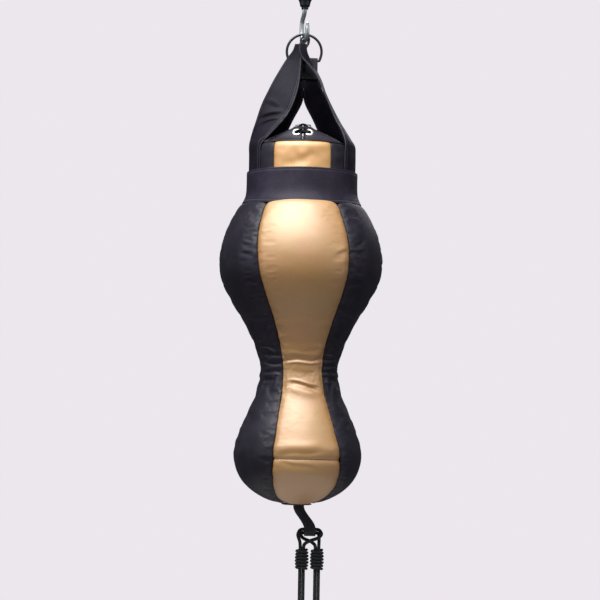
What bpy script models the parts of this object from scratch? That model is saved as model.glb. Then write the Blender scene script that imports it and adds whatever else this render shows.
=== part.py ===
"""Hanging punch bag with two round ends and a waist, ceiling swivel, straps and elastic floor cords.

Metres, +Z up. The origin is the eye that hangs from the ceiling, and the front faces -Y.
Azimuths are in degrees from the front, growing towards +X.
"""
import math

import bmesh
import bpy
from mathutils import Matrix, Vector

MM = 0.001
GAP = 0.3 * MM

# Body: height (m, below the eye) and outer radius of the leather
BODY_PROFILE = [
    (-0.442, 0.1030), (-0.462, 0.1068), (-0.479, 0.1130), (-0.492, 0.1260), (-0.508, 0.1360),
    (-0.540, 0.1510), (-0.572, 0.1600), (-0.602, 0.1625), (-0.634, 0.1575), (-0.672, 0.1400),
    (-0.716, 0.1130), (-0.764, 0.0885), (-0.810, 0.0765), (-0.856, 0.0830), (-0.900, 0.1015),
    (-0.936, 0.1165), (-0.974, 0.1260), (-1.008, 0.1215), (-1.034, 0.1070), (-1.054, 0.0840),
    (-1.068, 0.0580), (-1.076, 0.0320),
]
LEATHER = 3.0 * MM
SEAM_GAP = 1.0 * MM
SEAM_DEPTH = 1.5 * MM
FACET_ROOM = 3.0 * MM
PADDING = 10.0 * MM
CROSS_SEAM_Z = -0.990
CROSS_SEAM_RADIUS = 0.1245
# The panels turn a little towards +X on their way down
TWIST_TOP_Z = -0.480
TWIST_BOTTOM_Z = -0.990
TWIST_DEG = 10.0
# Half angle of the gold panel by height
GOLD_HALF_ANGLE = [(-0.440, 33.0), (-0.480, 34.0), (-0.498, 35.0), (-0.550, 34.8),
                   (-0.600, 33.8), (-0.700, 32.5), (-0.860, 31.2), (-0.940, 30.6),
                   (-0.990, 32.5), (-1.030, 36.5), (-1.054, 43.0), (-1.068, 51.0),
                   (-1.076, 58.0)]

# Collar, band and laced mouth
COLLAR_RADIUS = 0.1028
COLLAR_PROFILE = [(-0.4365, 0.1028), (-0.4150, 0.1028), (-0.3830, 0.1028), (-0.3730, 0.1015),
                  (-0.3680, 0.0985), (-0.3660, 0.0950)]
COLLAR_GOLD_HALF_ANGLE = 33.8
BAND_TOP_Z = -0.419
BAND_BOTTOM_Z = -0.4825
BAND_RADIUS = 0.1076
BAND_THICKNESS = 3.0 * MM
LID_BASE_Z = -0.3650
LID_RADIUS = 0.0935
LID_HEIGHT = 0.041
LID_SHOULDER = 0.052
LID_STEEPNESS = 8
LID_RIDGE = 8.0 * MM
LID_REACH = 0.098
LID_THICKNESS = 2.6 * MM
LID_SLIT = 3.0 * MM
LID_COLUMNS = 10
EYELET_X = 12.0 * MM
EYELET_Y = (-49.5 * MM, -19.0 * MM, 19.0 * MM, 49.5 * MM)
EYELET_HOLE = 4.5 * MM
EYELET_FLANGE = 9.0 * MM
LACE_RADIUS = 1.6 * MM

# Straps
STRAP_THICKNESS = 3.2 * MM
STRAP_BASE_Z = -0.434
STRAP_RADIUS = COLLAR_RADIUS + GAP + STRAP_THICKNESS / 2 + 0.2 * MM
STRAP_CUP = 4.5 * MM

# Hook and ring
HOOK_TURN_DEG = 16.0
HOOK_WIRE = 4.5 * MM
HOOK_BEND = 20.0 * MM
HOOK_BEND_Z = -0.1295
RING_WIRE = 2.6 * MM
RING_RADIUS = 35.0 * MM
RING_Y = 8.5 * MM
RING_TOP_Z = -0.1342
RING_BAR_DROP = 18.5 * MM
WEBBING = 3.0 * MM
# The front loop's legs below the hook: height, half distance (mm) and how far they have untwisted
LOOP_LEGS = [(-0.1555, 7.0, 0.1), (-0.1605, 5.1, 0.4), (-0.1655, 3.0, 0.8), (-0.171, 1.9, 1.0),
             (-0.182, 1.9, 1.0), (-0.193, 1.9, 1.0), (-0.204, 1.9, 1.0)]
REAR_LOOP_WIDTH = 55.0 * MM

# Swivel
EYE_RADIUS = 14.0 * MM
EYE_WIRE = 4.0 * MM

# Lower end
TAIL_X = 27.0 * MM
TAIL_THICKNESS = 2.4 * MM
TAIL_EYE = 7.5 * MM
EYE_Z = -1.1302
CORD_RADIUS = 3.2 * MM
STRAND_OFFSET = 3.4 * MM
LEG_OFFSET = 15.0 * MM
WHIPPING_TOP_Z = -1.1665
WHIPPING_TURNS = 6
WHIPPING_PITCH = 6.3 * MM
WHIPPING_RADIUS = 2.7 * MM
POINTS_PER_TURN = 14
FERRULE_TOP_Z = -1.286
FERRULE_LENGTH = 22.0 * MM

LEATHER_BLACK = ("black_leather", (0.022, 0.022, 0.026), 0.42, 0.0)
LEATHER_GOLD = ("gold_leather", (0.60, 0.36, 0.15), 0.36, 0.35)
WEBBING_BLACK = ("black_webbing", (0.012, 0.013, 0.018), 0.80, 0.0)
STEEL = ("zinc_steel", (0.62, 0.63, 0.64), 0.25, 1.0)
DARK_STEEL = ("dark_steel", (0.10, 0.10, 0.11), 0.30, 1.0)
NICKEL = ("nickel", (0.78, 0.77, 0.74), 0.18, 1.0)
CORD_BLACK = ("black_cord", (0.014, 0.015, 0.018), 0.75, 0.0)
FOAM = ("foam", (0.55, 0.54, 0.50), 0.90, 0.0)
RAGS = ("rag_filling", (0.35, 0.33, 0.32), 0.95, 0.0)


def clear_scene():
    for item in list(bpy.data.objects):
        bpy.data.objects.remove(item, do_unlink=True)


def collection(name):
    made = bpy.data.collections.new(name)
    bpy.context.scene.collection.children.link(made)
    return made


def material(finish):
    name, colour, roughness, metallic = finish
    made = bpy.data.materials.get(name)
    if made is None:
        made = bpy.data.materials.new(name)
        made.use_nodes = True
        shader = made.node_tree.nodes["Principled BSDF"]
        shader.inputs["Base Color"].default_value = (*colour, 1.0)
        shader.inputs["Roughness"].default_value = roughness
        shader.inputs["Metallic"].default_value = metallic
    return made


def place(name, data, finish):
    item = bpy.data.objects.new(name, data)
    item.data.materials.append(material(finish))
    PARTS.objects.link(item)
    return item


def catmull(points, count):
    """A smooth curve through points, as count points evenly spaced along it."""
    ends = [2 * points[0] - points[1]] + points + [2 * points[-1] - points[-2]]
    dense = []
    for a, b, c, d in zip(ends, ends[1:], ends[2:], ends[3:]):
        for k in range(20):
            t = k / 20
            dense.append(0.5 * (2 * b + (c - a) * t + (2 * a - 5 * b + 4 * c - d) * t * t
                                + (3 * b - a - 3 * c + d) * t ** 3))
    dense.append(points[-1])
    run = [0.0]
    for a, b in zip(dense, dense[1:]):
        run.append(run[-1] + (b - a).length)
    made = []
    k = 0
    for n in range(count):
        want = run[-1] * n / (count - 1)
        while k < len(run) - 2 and run[k + 1] < want:
            k += 1
        share = (want - run[k]) / max(run[k + 1] - run[k], 1e-12)
        made.append(dense[k].lerp(dense[k + 1], min(max(share, 0.0), 1.0)))
    return made


def millimetres(rows):
    return [Vector(row) * MM for row in rows]


def step_value(table, z):
    """The value at height z from a table of (height, value) that goes down."""
    if z >= table[0][0]:
        return table[0][1]
    for (z0, v0), (z1, v1) in zip(table, table[1:]):
        if z >= z1:
            return v0 + (v1 - v0) * (z0 - z) / (z0 - z1)
    return table[-1][1]


def around(radius, azimuth, z):
    angle = math.radians(azimuth)
    return Vector((radius * math.sin(angle), -radius * math.cos(angle), z))


def tube(name, points, radius, finish, cyclic=False, sides=8, tip=None):
    """A round bar along points. tip gives the first and last points' share of the radius."""
    curve = bpy.data.curves.new(name, "CURVE")
    curve.dimensions = "3D"
    curve.bevel_depth = radius
    curve.bevel_resolution = (sides - 4) // 2
    curve.use_fill_caps = True
    spline = curve.splines.new("POLY")
    spline.points.add(len(points) - 1)
    for point, place_at in zip(spline.points, points):
        point.co = (*place_at, 1.0)
    if tip:
        for end in (0, -1):
            spline.points[end].radius = tip
    spline.use_cyclic_u = cyclic
    return place(name, curve, finish)


def turned(name, profile, finish, steps=32, closed=False, centre=Vector()):
    """A solid of revolution. profile runs down the outer side as (radius, height)."""
    mesh = bpy.data.meshes.new(name)
    verts = [(radius, 0.0, z) for radius, z in profile]
    edges = [(k, k + 1) for k in range(len(verts) - 1)]
    if closed:
        edges.append((len(verts) - 1, 0))
    mesh.from_pydata(verts, edges, [])
    item = place(name, mesh, finish)
    item.location = centre
    screw = item.modifiers.new("Turn", "SCREW")
    screw.steps = steps
    screw.render_steps = steps
    screw.use_merge_vertices = True
    screw.merge_threshold = 0.00001
    screw.use_smooth_shade = True
    return item


def patch(name, rows, thickness, finish, offset):
    """A sheet over a grid of points, thickened. offset -1 thickens it inwards."""
    mesh = bpy.data.meshes.new(name)
    shape = bmesh.new()
    grid = [[shape.verts.new(point) for point in row] for row in rows]
    for upper, lower in zip(grid, grid[1:]):
        for k in range(len(upper) - 1):
            shape.faces.new((upper[k], lower[k], lower[k + 1], upper[k + 1]))
    shape.to_mesh(mesh)
    shape.free()
    mesh.shade_smooth()
    item = place(name, mesh, finish)
    wall = item.modifiers.new("Wall", "SOLIDIFY")
    wall.thickness = thickness
    wall.offset = offset
    wall.use_even_offset = True
    return item


def cut(item, radius, depth, centre, direction):
    """Cuts a round hole of depth along direction through item."""
    mesh = bpy.data.meshes.new("hole")
    shape = bmesh.new()
    bmesh.ops.create_cone(shape, cap_ends=True, segments=16, radius1=radius, radius2=radius,
                          depth=depth)
    shape.to_mesh(mesh)
    shape.free()
    cutter = bpy.data.objects.new(item.name + "_cutter", mesh)
    turn = Vector((0, 0, 1)).rotation_difference(direction).to_matrix().to_4x4()
    cutter.matrix_world = Matrix.Translation(centre) @ turn
    cutter.hide_render = True
    cutter.display_type = "WIRE"
    CUTTERS.objects.link(cutter)
    bore = item.modifiers.new("Bore", "BOOLEAN")
    bore.operation = "DIFFERENCE"
    bore.object = cutter


def hex_nut(name, across, height, bore, top_z, finish):
    mesh = bpy.data.meshes.new(name)
    shape = bmesh.new()
    bmesh.ops.create_cone(shape, cap_ends=True, segments=6, radius1=across, radius2=across,
                          depth=height)
    shape.to_mesh(mesh)
    shape.free()
    item = place(name, mesh, finish)
    item.location = (0, 0, top_z - height / 2)
    cut(item, bore, 3 * height, Vector((0, 0, top_z - height / 2)), Vector((0, 0, 1)))
    return item


def hook_plane(u, z, v=0.0):
    """A point in the hook's own plane: u towards the tip, v to its right."""
    angle = math.radians(HOOK_TURN_DEG)
    return Vector((u * math.sin(angle) + v * math.cos(angle),
                   -u * math.cos(angle) + v * math.sin(angle), z))


def make_swivel():
    loop = [Vector((0, 0, z)) for z in (-0.0415, -0.034, -0.026)]
    loop.append(Vector((0.0012, 0, -0.0195)))
    for degree in range(-62, 245, 14):
        angle = math.radians(degree)
        loop.append(Vector((EYE_RADIUS * math.cos(angle), 0, EYE_RADIUS * math.sin(angle))))
    tube("top_eye", loop, EYE_WIRE, STEEL)
    housing = [(0.0047, -0.0250), (0.0150, -0.0250), (0.0165, -0.0262), (0.0172, -0.0300),
               (0.0172, -0.0560), (0.0160, -0.0600), (0.0125, -0.0680), (0.0108, -0.0725),
               (0.0100, -0.0775), (0.0082, -0.0797), (0.0070, -0.0805), (0.0070, -0.0845),
               (0.0052, -0.0845), (0.0052, -0.0583), (0.0135, -0.0583), (0.0135, -0.0325),
               (0.0047, -0.0325)]
    turned("swivel_housing", housing, DARK_STEEL, steps=20, closed=True)
    hex_nut("eye_nut", 0.0090, 0.0060, EYE_WIRE + GAP, -0.0328, STEEL)
    washer("upper_race", 0.0052, 0.0125, -0.0508, 0.0020)
    washer("lower_race", 0.0054, 0.0130, -0.0560, 0.0020)
    make_ball_cage()
    hex_nut("hook_nut", 0.0095, 0.0055, HOOK_WIRE + GAP, -0.0450, STEEL)


def washer(name, bore, outer, top_z, height):
    ring = [(bore, top_z), (outer, top_z), (outer, top_z - height), (bore, top_z - height)]
    turned(name, ring, STEEL, steps=20, closed=True)


def make_ball_cage():
    """A flat ring with eight balls standing out of both sides."""
    ball_radius = 1.3 * MM
    middle = -0.0544
    ring = [(0.0062, middle + 0.0005), (0.0120, middle + 0.0005),
            (0.0120, middle - 0.0005), (0.0062, middle - 0.0005)]
    cage = turned("ball_cage", ring, STEEL, steps=16, closed=True)
    mesh = bpy.data.meshes.new("balls")
    shape = bmesh.new()
    for k in range(8):
        spot = around(0.0091, 45.0 * k, middle)
        bmesh.ops.create_uvsphere(shape, u_segments=6, v_segments=4, radius=ball_radius,
                                  matrix=Matrix.Translation(spot))
    shape.to_mesh(mesh)
    shape.free()
    balls = bpy.data.objects.new("balls_cutter", mesh)
    balls.hide_render = True
    balls.display_type = "WIRE"
    CUTTERS.objects.link(balls)
    join = cage.modifiers.new("Balls", "BOOLEAN")
    join.operation = "UNION"
    join.object = balls


def make_hook():
    """Shank in the swivel, swan neck back to the spine, round bend and a tip in front."""
    line = [hook_plane(0, -0.0440), hook_plane(0, -0.0620), hook_plane(0, -0.0800)]
    line += [hook_plane(-1.5 * MM, -0.0890), hook_plane(-7 * MM, -0.0960),
             hook_plane(-14.5 * MM, -0.1020), hook_plane(-19 * MM, -0.1100),
             hook_plane(-20.3 * MM, -0.1200)]
    bend = []
    for degree in range(180, 361, 20):
        angle = math.radians(degree)
        bend.append(hook_plane(HOOK_BEND * math.cos(angle),
                               HOOK_BEND_Z + HOOK_BEND * math.sin(angle)))
    tip = [hook_plane(20.6 * MM, -0.1220), hook_plane(21.8 * MM, -0.1135)]
    tube("hook", catmull(line + bend + tip, 38), HOOK_WIRE, STEEL, tip=0.72)


def make_d_ring():
    centre_z = RING_TOP_Z - RING_RADIUS
    points = []
    for degree in range(-16, 197, 9):
        angle = math.radians(degree)
        points.append(Vector((RING_RADIUS * math.cos(angle), RING_Y,
                              centre_z + RING_RADIUS * math.sin(angle))))
    bar_z = centre_z - RING_BAR_DROP
    for x, drop in ((-0.0322, 0.0040), (-0.0306, 0.0008), (-0.0290, 0.0), (-0.012, 0.0),
                    (0.012, 0.0), (0.0290, 0.0), (0.0306, 0.0008), (0.0322, 0.0040)):
        points.append(Vector((x, RING_Y, bar_z + drop)))
    tube("d_ring", points, RING_WIRE, DARK_STEEL, cyclic=True, sides=6)


def make_front_loop():
    """Webbing over the hook's bend. Its two legs close up and hang between the front straps."""
    rows = []
    reach = 8.0 * MM
    for share in (0.0, 0.33, 0.67, 1.0):
        u = (-2.0 + 12.0 * share) * MM
        rise = HOOK_BEND - math.sqrt(HOOK_BEND ** 2 - u ** 2)
        bend_z = HOOK_BEND_Z - HOOK_BEND + rise
        line = []
        for degree in range(0, 181, 22):
            angle = math.radians(degree)
            line.append(hook_plane(u, bend_z + (reach + 0.3 * MM) * math.sin(angle),
                                   reach * math.cos(angle)))
        legs = {1: [], -1: []}
        for z, half, untwist in LOOP_LEGS:
            turn = math.radians(HOOK_TURN_DEG * (1 - untwist))
            for side in (1, -1):
                v = side * half * MM
                legs[side].append(Vector((u * math.sin(turn) + v * math.cos(turn),
                                          -u * math.cos(turn) + v * math.sin(turn), z)))
        rows.append(legs[1][::-1] + line + legs[-1])
    patch("front_hook_loop", rows, WEBBING, WEBBING_BLACK, 0.0)


def make_rear_loop():
    """Wide webbing round the D-ring's bar, open below for the two rear straps."""
    bar_z = RING_TOP_Z - RING_RADIUS - RING_BAR_DROP
    reach = RING_WIRE + GAP + WEBBING / 2 + 0.1 * MM
    line = [(reach, -0.226), (reach, -0.213), (reach, -0.200)]
    for degree in range(0, 181, 22):
        angle = math.radians(degree)
        line.append((reach * math.cos(angle), bar_z + reach * math.sin(angle)))
    line += [(-reach, -0.200), (-reach, -0.213), (-reach, -0.226)]
    half = REAR_LOOP_WIDTH / 2
    rows = [[Vector((x, RING_Y + y, z)) for y, z in line] for x in (-half, 0.0, half)]
    patch("rear_ring_loop", rows, WEBBING, WEBBING_BLACK, 0.0)


def ribbon(name, first, second, rows=18, columns=5):
    """A strap between two edge curves, cupped a little away from the axis."""
    left = catmull(first, rows)
    right = catmull(second, rows)
    grid = []
    for a, b in zip(left, right):
        middle = (a + b) / 2
        out = Vector((middle.x, middle.y, 0)).normalized()
        width = min(max(2 * (b - a).length / (60 * MM) - 1, 0.0), 1.0)
        row = []
        for k in range(columns):
            share = k / (columns - 1)
            cup = STRAP_CUP * width * 4 * share * (1 - share)
            row.append(a.lerp(b, share) + out * cup)
        grid.append(row)
    return patch(name, grid, STRAP_THICKNESS, LEATHER_BLACK, 0.0)


def strap_foot(azimuth, sign):
    """The strap's edge where it lies on the collar."""
    return [around(STRAP_RADIUS, sign * azimuth, z) for z in (STRAP_BASE_Z, -0.412, -0.390)]


def make_straps():
    inner = millimetres([(-82.5, -63, -369), (-67, -56, -350), (-51.5, -50, -332),
                         (-31.5, -38, -306), (-19, -34, -279), (-10, -27, -245),
                         (-7, -21, -212), (-6, -17.5, -188), (-4.6, -15.6, -172),
                         (-4, -15.2, -158)])
    outer = millimetres([(-105.5, -8, -366), (-100.5, -8, -340), (-94.5, -8.5, -318),
                         (-86.5, -9, -292), (-77, -10, -268), (-63, -9, -238),
                         (-47, -7.5, -209), (-34, -8.5, -188), (-22, -11.5, -172),
                         (-17, -13.5, -158)])
    ribbon("front_strap_left", strap_foot(53, -1) + inner, strap_foot(86, -1) + outer)
    front = millimetres([(84.5, -63, -362), (75.2, -54, -334), (64.7, -47, -315),
                         (50, -39, -279), (30, -28, -231), (11, -24.5, -204), (-3, -22.5, -188),
                         (-9, -21.8, -174), (-9, -21.5, -158)])
    back = millimetres([(101, -7, -362), (84, 3, -334), (72, 6, -313),
                        (52, 5, -277), (35, -3, -231), (20, -7.5, -204), (11, -11.5, -188),
                        (5, -16, -174), (3, -17.5, -158)])
    ribbon("front_strap_right", strap_foot(53, 1) + front, strap_foot(86, 1) + back)
    near = millimetres([(58.5, 85, -368), (36.5, 62, -333), (20.5, 44, -302),
                        (2.6, 24, -269), (1.2, 9, -242), (0.4, 8.5, -212)])
    far = millimetres([(95.2, 39.5, -364), (81, 34, -332), (68, 26, -302),
                       (49, 15, -268), (35, 8.6, -242), (28, 8.5, -212)])
    for side, sign in (("left", -1), ("right", 1)):
        mirror = Matrix.Diagonal((sign, 1, 1))
        ribbon("rear_strap_" + side,
               strap_foot(145.5, sign) + [mirror @ point for point in near],
               strap_foot(112.5, sign) + [mirror @ point for point in far])


def lid_height(x, y):
    """A tent along the slit: sloping to both sides, steep at the front and back."""
    side = (math.hypot(x, LID_RIDGE) - LID_RIDGE) / LID_REACH
    slope = max(1 - side, 0.0) ** 1.15
    drop = 1 / (1 + (abs(y) / LID_SHOULDER) ** LID_STEEPNESS)
    rim = max(1 - (math.hypot(x, y) / LID_RADIUS) ** 8, 0.0)
    return LID_HEIGHT * slope * drop * rim


def lid_point(x, y):
    return Vector((x, y, LID_BASE_Z + lid_height(x, y)))


def lid_normal(x, y):
    step = 0.5 * MM
    along_x = lid_point(x + step, y) - lid_point(x - step, y)
    along_y = lid_point(x, y + step) - lid_point(x, y - step)
    return along_x.cross(along_y).normalized()


def make_lid():
    radii = (12, 28, 40, 46, 51, 57, 66, 80, 93.5)
    for side, sign in (("left", -1), ("right", 1)):
        grid = []
        for radius in [r * MM for r in radii]:
            reach = math.degrees(math.asin(LID_SLIT / 2 / radius))
            row = []
            for k in range(LID_COLUMNS + 1):
                azimuth = reach + (180 - 2 * reach) * k / LID_COLUMNS
                spot = around(radius, sign * azimuth, 0)
                row.append(lid_point(spot.x, spot.y))
            grid.append(row if sign > 0 else row[::-1])
        middle = [lid_point(sign * LID_SLIT / 2, 4 * MM * (2 * k / LID_COLUMNS - 1))
                  for k in range(LID_COLUMNS + 1)]
        grid.insert(0, middle if sign > 0 else middle[::-1])
        lid = patch("lid_" + side, grid, LID_THICKNESS, LEATHER_BLACK, -1.0)
        for number, y in enumerate(EYELET_Y, 1):
            spot = lid_point(sign * EYELET_X, y)
            normal = lid_normal(spot.x, spot.y)
            cut(lid, EYELET_HOLE + 1.2 * MM, 30 * MM, spot, normal)
            lid.modifiers[-1].name = "Hole " + str(number)
            make_eyelet("eyelet_" + side + "_" + str(number), spot, normal)


def make_eyelet(name, spot, normal):
    """A rolled flange outside, a tube through the leather and a washer behind it."""
    hole = EYELET_HOLE
    profile = [(hole, 0.9), (hole + 1.0 * MM, 1.9), (hole + 3.0 * MM, 1.8), (EYELET_FLANGE, 0.9),
               (hole + 0.8 * MM, 0.8), (hole + 0.8 * MM, -4.2), (hole, -4.2)]
    rings = [(radius, height * MM) for radius, height in profile]
    item = turned(name, rings, NICKEL, steps=12, closed=True)
    turn = Vector((0, 0, 1)).rotation_difference(normal).to_matrix().to_4x4()
    item.matrix_world = Matrix.Translation(spot) @ turn


def make_lace():
    """One cord down and up through the eyelets, from the knot loop in front to the back."""
    line = millimetres([(4, -44, -314), (-1, -50, -317), (-5, -54, -325), (-4, -59, -334)])
    order = [(-1, 0, 1), (1, 1, -1), (-1, 1, 1), (1, 2, -1), (-1, 2, 1), (1, 3, -1), (-1, 3, 1)]
    for sign, number, way in order:
        spot = lid_point(sign * EYELET_X, EYELET_Y[number])
        normal = lid_normal(spot.x, spot.y)
        for lift in (6.0, -1.0, -8.0):
            line.append(spot + normal * (way * (lift + 1.0) - 1.0) * MM)
    tube("lace", catmull(line, 54), LACE_RADIUS, CORD_BLACK, sides=6)


def wall(name, profile, first, last, thickness, finish, columns):
    """Part of a turned wall between two azimuths, made as a sheet thickened inwards."""
    rows = []
    for z, radius in profile:
        shift = math.degrees(SEAM_GAP / 2 / radius)
        rows.append([around(radius, first + shift + (last - first - 2 * shift) * k / columns, z)
                     for k in range(columns + 1)])
    return patch(name, rows[::-1], thickness, finish, -1.0)


def make_collar():
    half = COLLAR_GOLD_HALF_ANGLE
    wall("collar_gold_front", COLLAR_PROFILE, -half, half, LEATHER, LEATHER_GOLD, 6)
    wall("collar_black_right", COLLAR_PROFILE, half, 180 - half, LEATHER, LEATHER_BLACK, 10)
    wall("collar_gold_back", COLLAR_PROFILE, 180 - half, 180 + half, LEATHER, LEATHER_GOLD, 6)
    wall("collar_black_left", COLLAR_PROFILE, 180 + half, 360 - half, LEATHER, LEATHER_BLACK, 10)


def inset(outline, depth):
    """The outline of (height, radius) pairs moved square to itself towards the inside."""
    made = []
    for k, (z, radius) in enumerate(outline):
        before = outline[max(k - 1, 0)]
        after = outline[min(k + 1, len(outline) - 1)]
        along = Vector((after[1] - before[1], after[0] - before[0])).normalized()
        made.append((z - along.x * depth, radius + along.y * depth))
    return made


def make_band():
    """Leather band over the strap ends, flaring with the body below it."""
    inner = [(BAND_TOP_Z, BAND_RADIUS), (-0.438, BAND_RADIUS), (-0.462, 0.1090),
             (-0.475, 0.1132), (BAND_BOTTOM_Z, 0.1178)]
    profile = [(radius + BAND_THICKNESS, z) for z, radius in inner]
    profile += [(radius, z) for z, radius in reversed(inner)]
    turned("top_band", profile, LEATHER_BLACK, steps=36, closed=True)


def seam_angles(z):
    """Azimuths of the front panel's two seams, the side seams and the back panel's seams."""
    share = min(max((TWIST_TOP_Z - z) / (TWIST_TOP_Z - TWIST_BOTTOM_Z), 0.0), 1.15)
    twist = TWIST_DEG * share
    half = step_value(GOLD_HALF_ANGLE, z)
    return [twist + angle for angle in (-half, half, 90, 180 - half, 180 + half, 270, 360 - half)]


def make_panel(name, first, last, outline, finish, columns):
    """A body panel between two of the seams, drawn in a little at its edges."""
    rows = []
    for z, radius in outline:
        seams = seam_angles(z)
        shift = math.degrees(SEAM_GAP / 2 / radius)
        start = seams[first] + shift
        sweep = seams[last] - shift - start
        row = []
        for k in range(columns + 1):
            share = k / columns
            draw_in = SEAM_DEPTH * (2 * share - 1) ** 4
            row.append(around(radius - draw_in, start + sweep * share, z))
        rows.append(row)
    patch(name, rows, LEATHER, finish, -1.0)


def make_body():
    upper = [pair for pair in BODY_PROFILE if pair[0] > CROSS_SEAM_Z]
    lower = [pair for pair in BODY_PROFILE if pair[0] < CROSS_SEAM_Z]
    whole = upper + [(CROSS_SEAM_Z, CROSS_SEAM_RADIUS)] + lower
    upper.append((CROSS_SEAM_Z + SEAM_GAP / 2, CROSS_SEAM_RADIUS))
    lower.insert(0, (CROSS_SEAM_Z - SEAM_GAP / 2, CROSS_SEAM_RADIUS))
    for side, first, last in (("front", 0, 1), ("back", 3, 4)):
        make_panel("gold_" + side + "_upper", first, last, upper, LEATHER_GOLD, 6)
        make_panel("gold_" + side + "_lower", first, last, lower, LEATHER_GOLD, 6)
    make_panel("black_front_right", 1, 2, whole, LEATHER_BLACK, 5)
    make_panel("black_back_right", 2, 3, whole, LEATHER_BLACK, 5)
    make_panel("black_back_left", 4, 5, whole, LEATHER_BLACK, 5)
    make_panel("black_front_left", 5, 6, whole, LEATHER_BLACK, 5)


def make_filling():
    """Padding behind the leather, open at the mouth, and the packed filling inside it."""
    neck = [(-0.3760, 0.0965), (-0.4300, 0.0965)]
    outer = neck + inset(BODY_PROFILE, LEATHER + SEAM_DEPTH + FACET_ROOM)[1:-1]
    inner = [(z, radius - PADDING) for z, radius in neck]
    inner += inset(BODY_PROFILE, LEATHER + SEAM_DEPTH + FACET_ROOM + PADDING)[1:-2:2]
    core = [(z, radius - PADDING - FACET_ROOM / 2) for z, radius in neck]
    core += inset(BODY_PROFILE, LEATHER + SEAM_DEPTH + 1.5 * FACET_ROOM + PADDING)[1:-2:2]
    shell = [(0.0, inner[-1][0] - 2 * MM)] + [(radius, z) for z, radius in reversed(inner)]
    shell += [(radius, z) for z, radius in outer] + [(0.0, outer[-1][0] - 2 * MM)]
    turned("foam_liner", shell, FOAM, steps=14)
    fill = [(0.0, -0.3780)] + [(radius, z) for z, radius in core] + [(0.0, core[-1][0] - MM)]
    turned("rag_fill", fill, RAGS, steps=14)


def make_base_patch():
    round_piece = [(0.0, -1.0770), (0.0300, -1.0755), (0.0300, -1.0775), (0.0240, -1.0792),
                   (0.0, -1.0800)]
    turned("base_patch", round_piece, LEATHER_BLACK, steps=20)


def make_tail():
    """Webbing folded double: down in front, round the two cords and up behind."""
    bend = TAIL_EYE + TAIL_THICKNESS / 2
    line = [(-1.5, -1.0812), (-1.5, -1.092), (-1.5, -1.103), (-2.6, -1.111), (-4.9, -1.1185)]
    stations = [(depth * MM, z) for depth, z in line]
    for degree in range(145, 396, 25):
        angle = math.radians(degree)
        stations.append((bend * math.cos(angle), EYE_Z + bend * math.sin(angle)))
    stations += [(-depth * MM, z) for depth, z in reversed(line)]
    rows = []
    for depth, z in stations:
        share = min(max((-1.0812 - z) / 0.045, 0.0), 1.0)
        ease = share * share * (3 - 2 * share)
        centre = TAIL_X * (0.16 + 0.84 * ease)
        half = (11.0 + 0.4 * ease) * MM
        turn = math.radians(28 * (1 - ease))
        row = []
        for k in (-1, 0, 1):
            row.append(Vector((centre + k * half * math.cos(turn) - depth * math.sin(turn),
                               k * half * math.sin(turn) + depth * math.cos(turn), z)))
        rows.append(row)
    patch("tail_webbing", rows, TAIL_THICKNESS, WEBBING_BLACK, 0.0)


# Each cord above its binding, in millimetres from the middle of the webbing's fold
LEFT_CORD = [(-18.4, 0, -1160), (-19.6, -0.7, -1150), (-23.3, -1.5, -1138.5),
             (-20.5, -0.5, -1130), (-14.5, 0, -1126.9), (0, 0, -1126.7), (14.5, 0, -1126.9),
             (20.5, -0.8, -1129.8), (23.0, -4.5, -1137), (15.0, -8.6, -1143.8),
             (4, -7.8, -1147.8), (-5, -4.8, -1152), (-10.2, -1.2, -1156.4),
             (-11.6, 0, -1162), (-11.6, 0, -1170)]
RIGHT_CORD = [(18.4, 0, -1161), (18.6, 0.6, -1152), (18.6, 1.2, -1144),
              (17.8, 0.8, -1137.4), (14.5, 0, -1133.9), (0, 0, -1133.7), (-14.5, 0, -1133.9),
              (-17.4, 2.6, -1137), (-15, 6.6, -1142.5), (-8, 8.4, -1147), (0, 7.8, -1149.8),
              (5.5, 5.0, -1153), (10, 1.6, -1157), (11.6, 0, -1162), (11.6, 0, -1170)]


def make_cords():
    """Each elastic cord goes up from its ferrule, through the fold and back down."""
    for side, sign, over in (("left", -1, LEFT_CORD), ("right", 1, RIGHT_CORD)):
        outside = sign * (LEG_OFFSET + STRAND_OFFSET) / MM
        inside = sign * (LEG_OFFSET - STRAND_OFFSET) / MM
        end = FERRULE_TOP_Z / MM - 12
        up = [(outside, 0, z) for z in (end, -1255, -1215, -1180)]
        down = [(inside, 0, z) for z in (-1180, -1215, -1255, end)]
        line = [point + Vector((TAIL_X, 0, 0)) for point in millimetres(up + over + down)]
        path = catmull(line[3:-3], 40)
        tube("spring_cord_" + side, line[:3] + path + line[-3:], CORD_RADIUS, CORD_BLACK)


def make_whippings():
    """A cord wound round the two strands, six real turns going down."""
    reach = CORD_RADIUS + 0.7 * MM + WHIPPING_RADIUS
    for side, sign in (("left", -1), ("right", 1)):
        centre_x = TAIL_X + sign * LEG_OFFSET
        line = []
        count = WHIPPING_TURNS * POINTS_PER_TURN
        for n in range(count + 1):
            turn = 2 * math.pi * n / POINTS_PER_TURN
            ends = STRAND_OFFSET * max(-1.0, min(1.0, 1.6 * math.cos(turn)))
            line.append(Vector((centre_x + ends + reach * math.cos(turn),
                                reach * math.sin(turn),
                                WHIPPING_TOP_Z - WHIPPING_PITCH * n / POINTS_PER_TURN)))
        least = min((a - b).length for n, a in enumerate(line)
                    for b in line[n + POINTS_PER_TURN // 2:]) - 2 * WHIPPING_RADIUS
        print("whipping_" + side, "turns stand", round(least / MM, 2), "mm apart")
        tube("whipping_" + side, line, WHIPPING_RADIUS, CORD_BLACK, sides=6)


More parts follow.
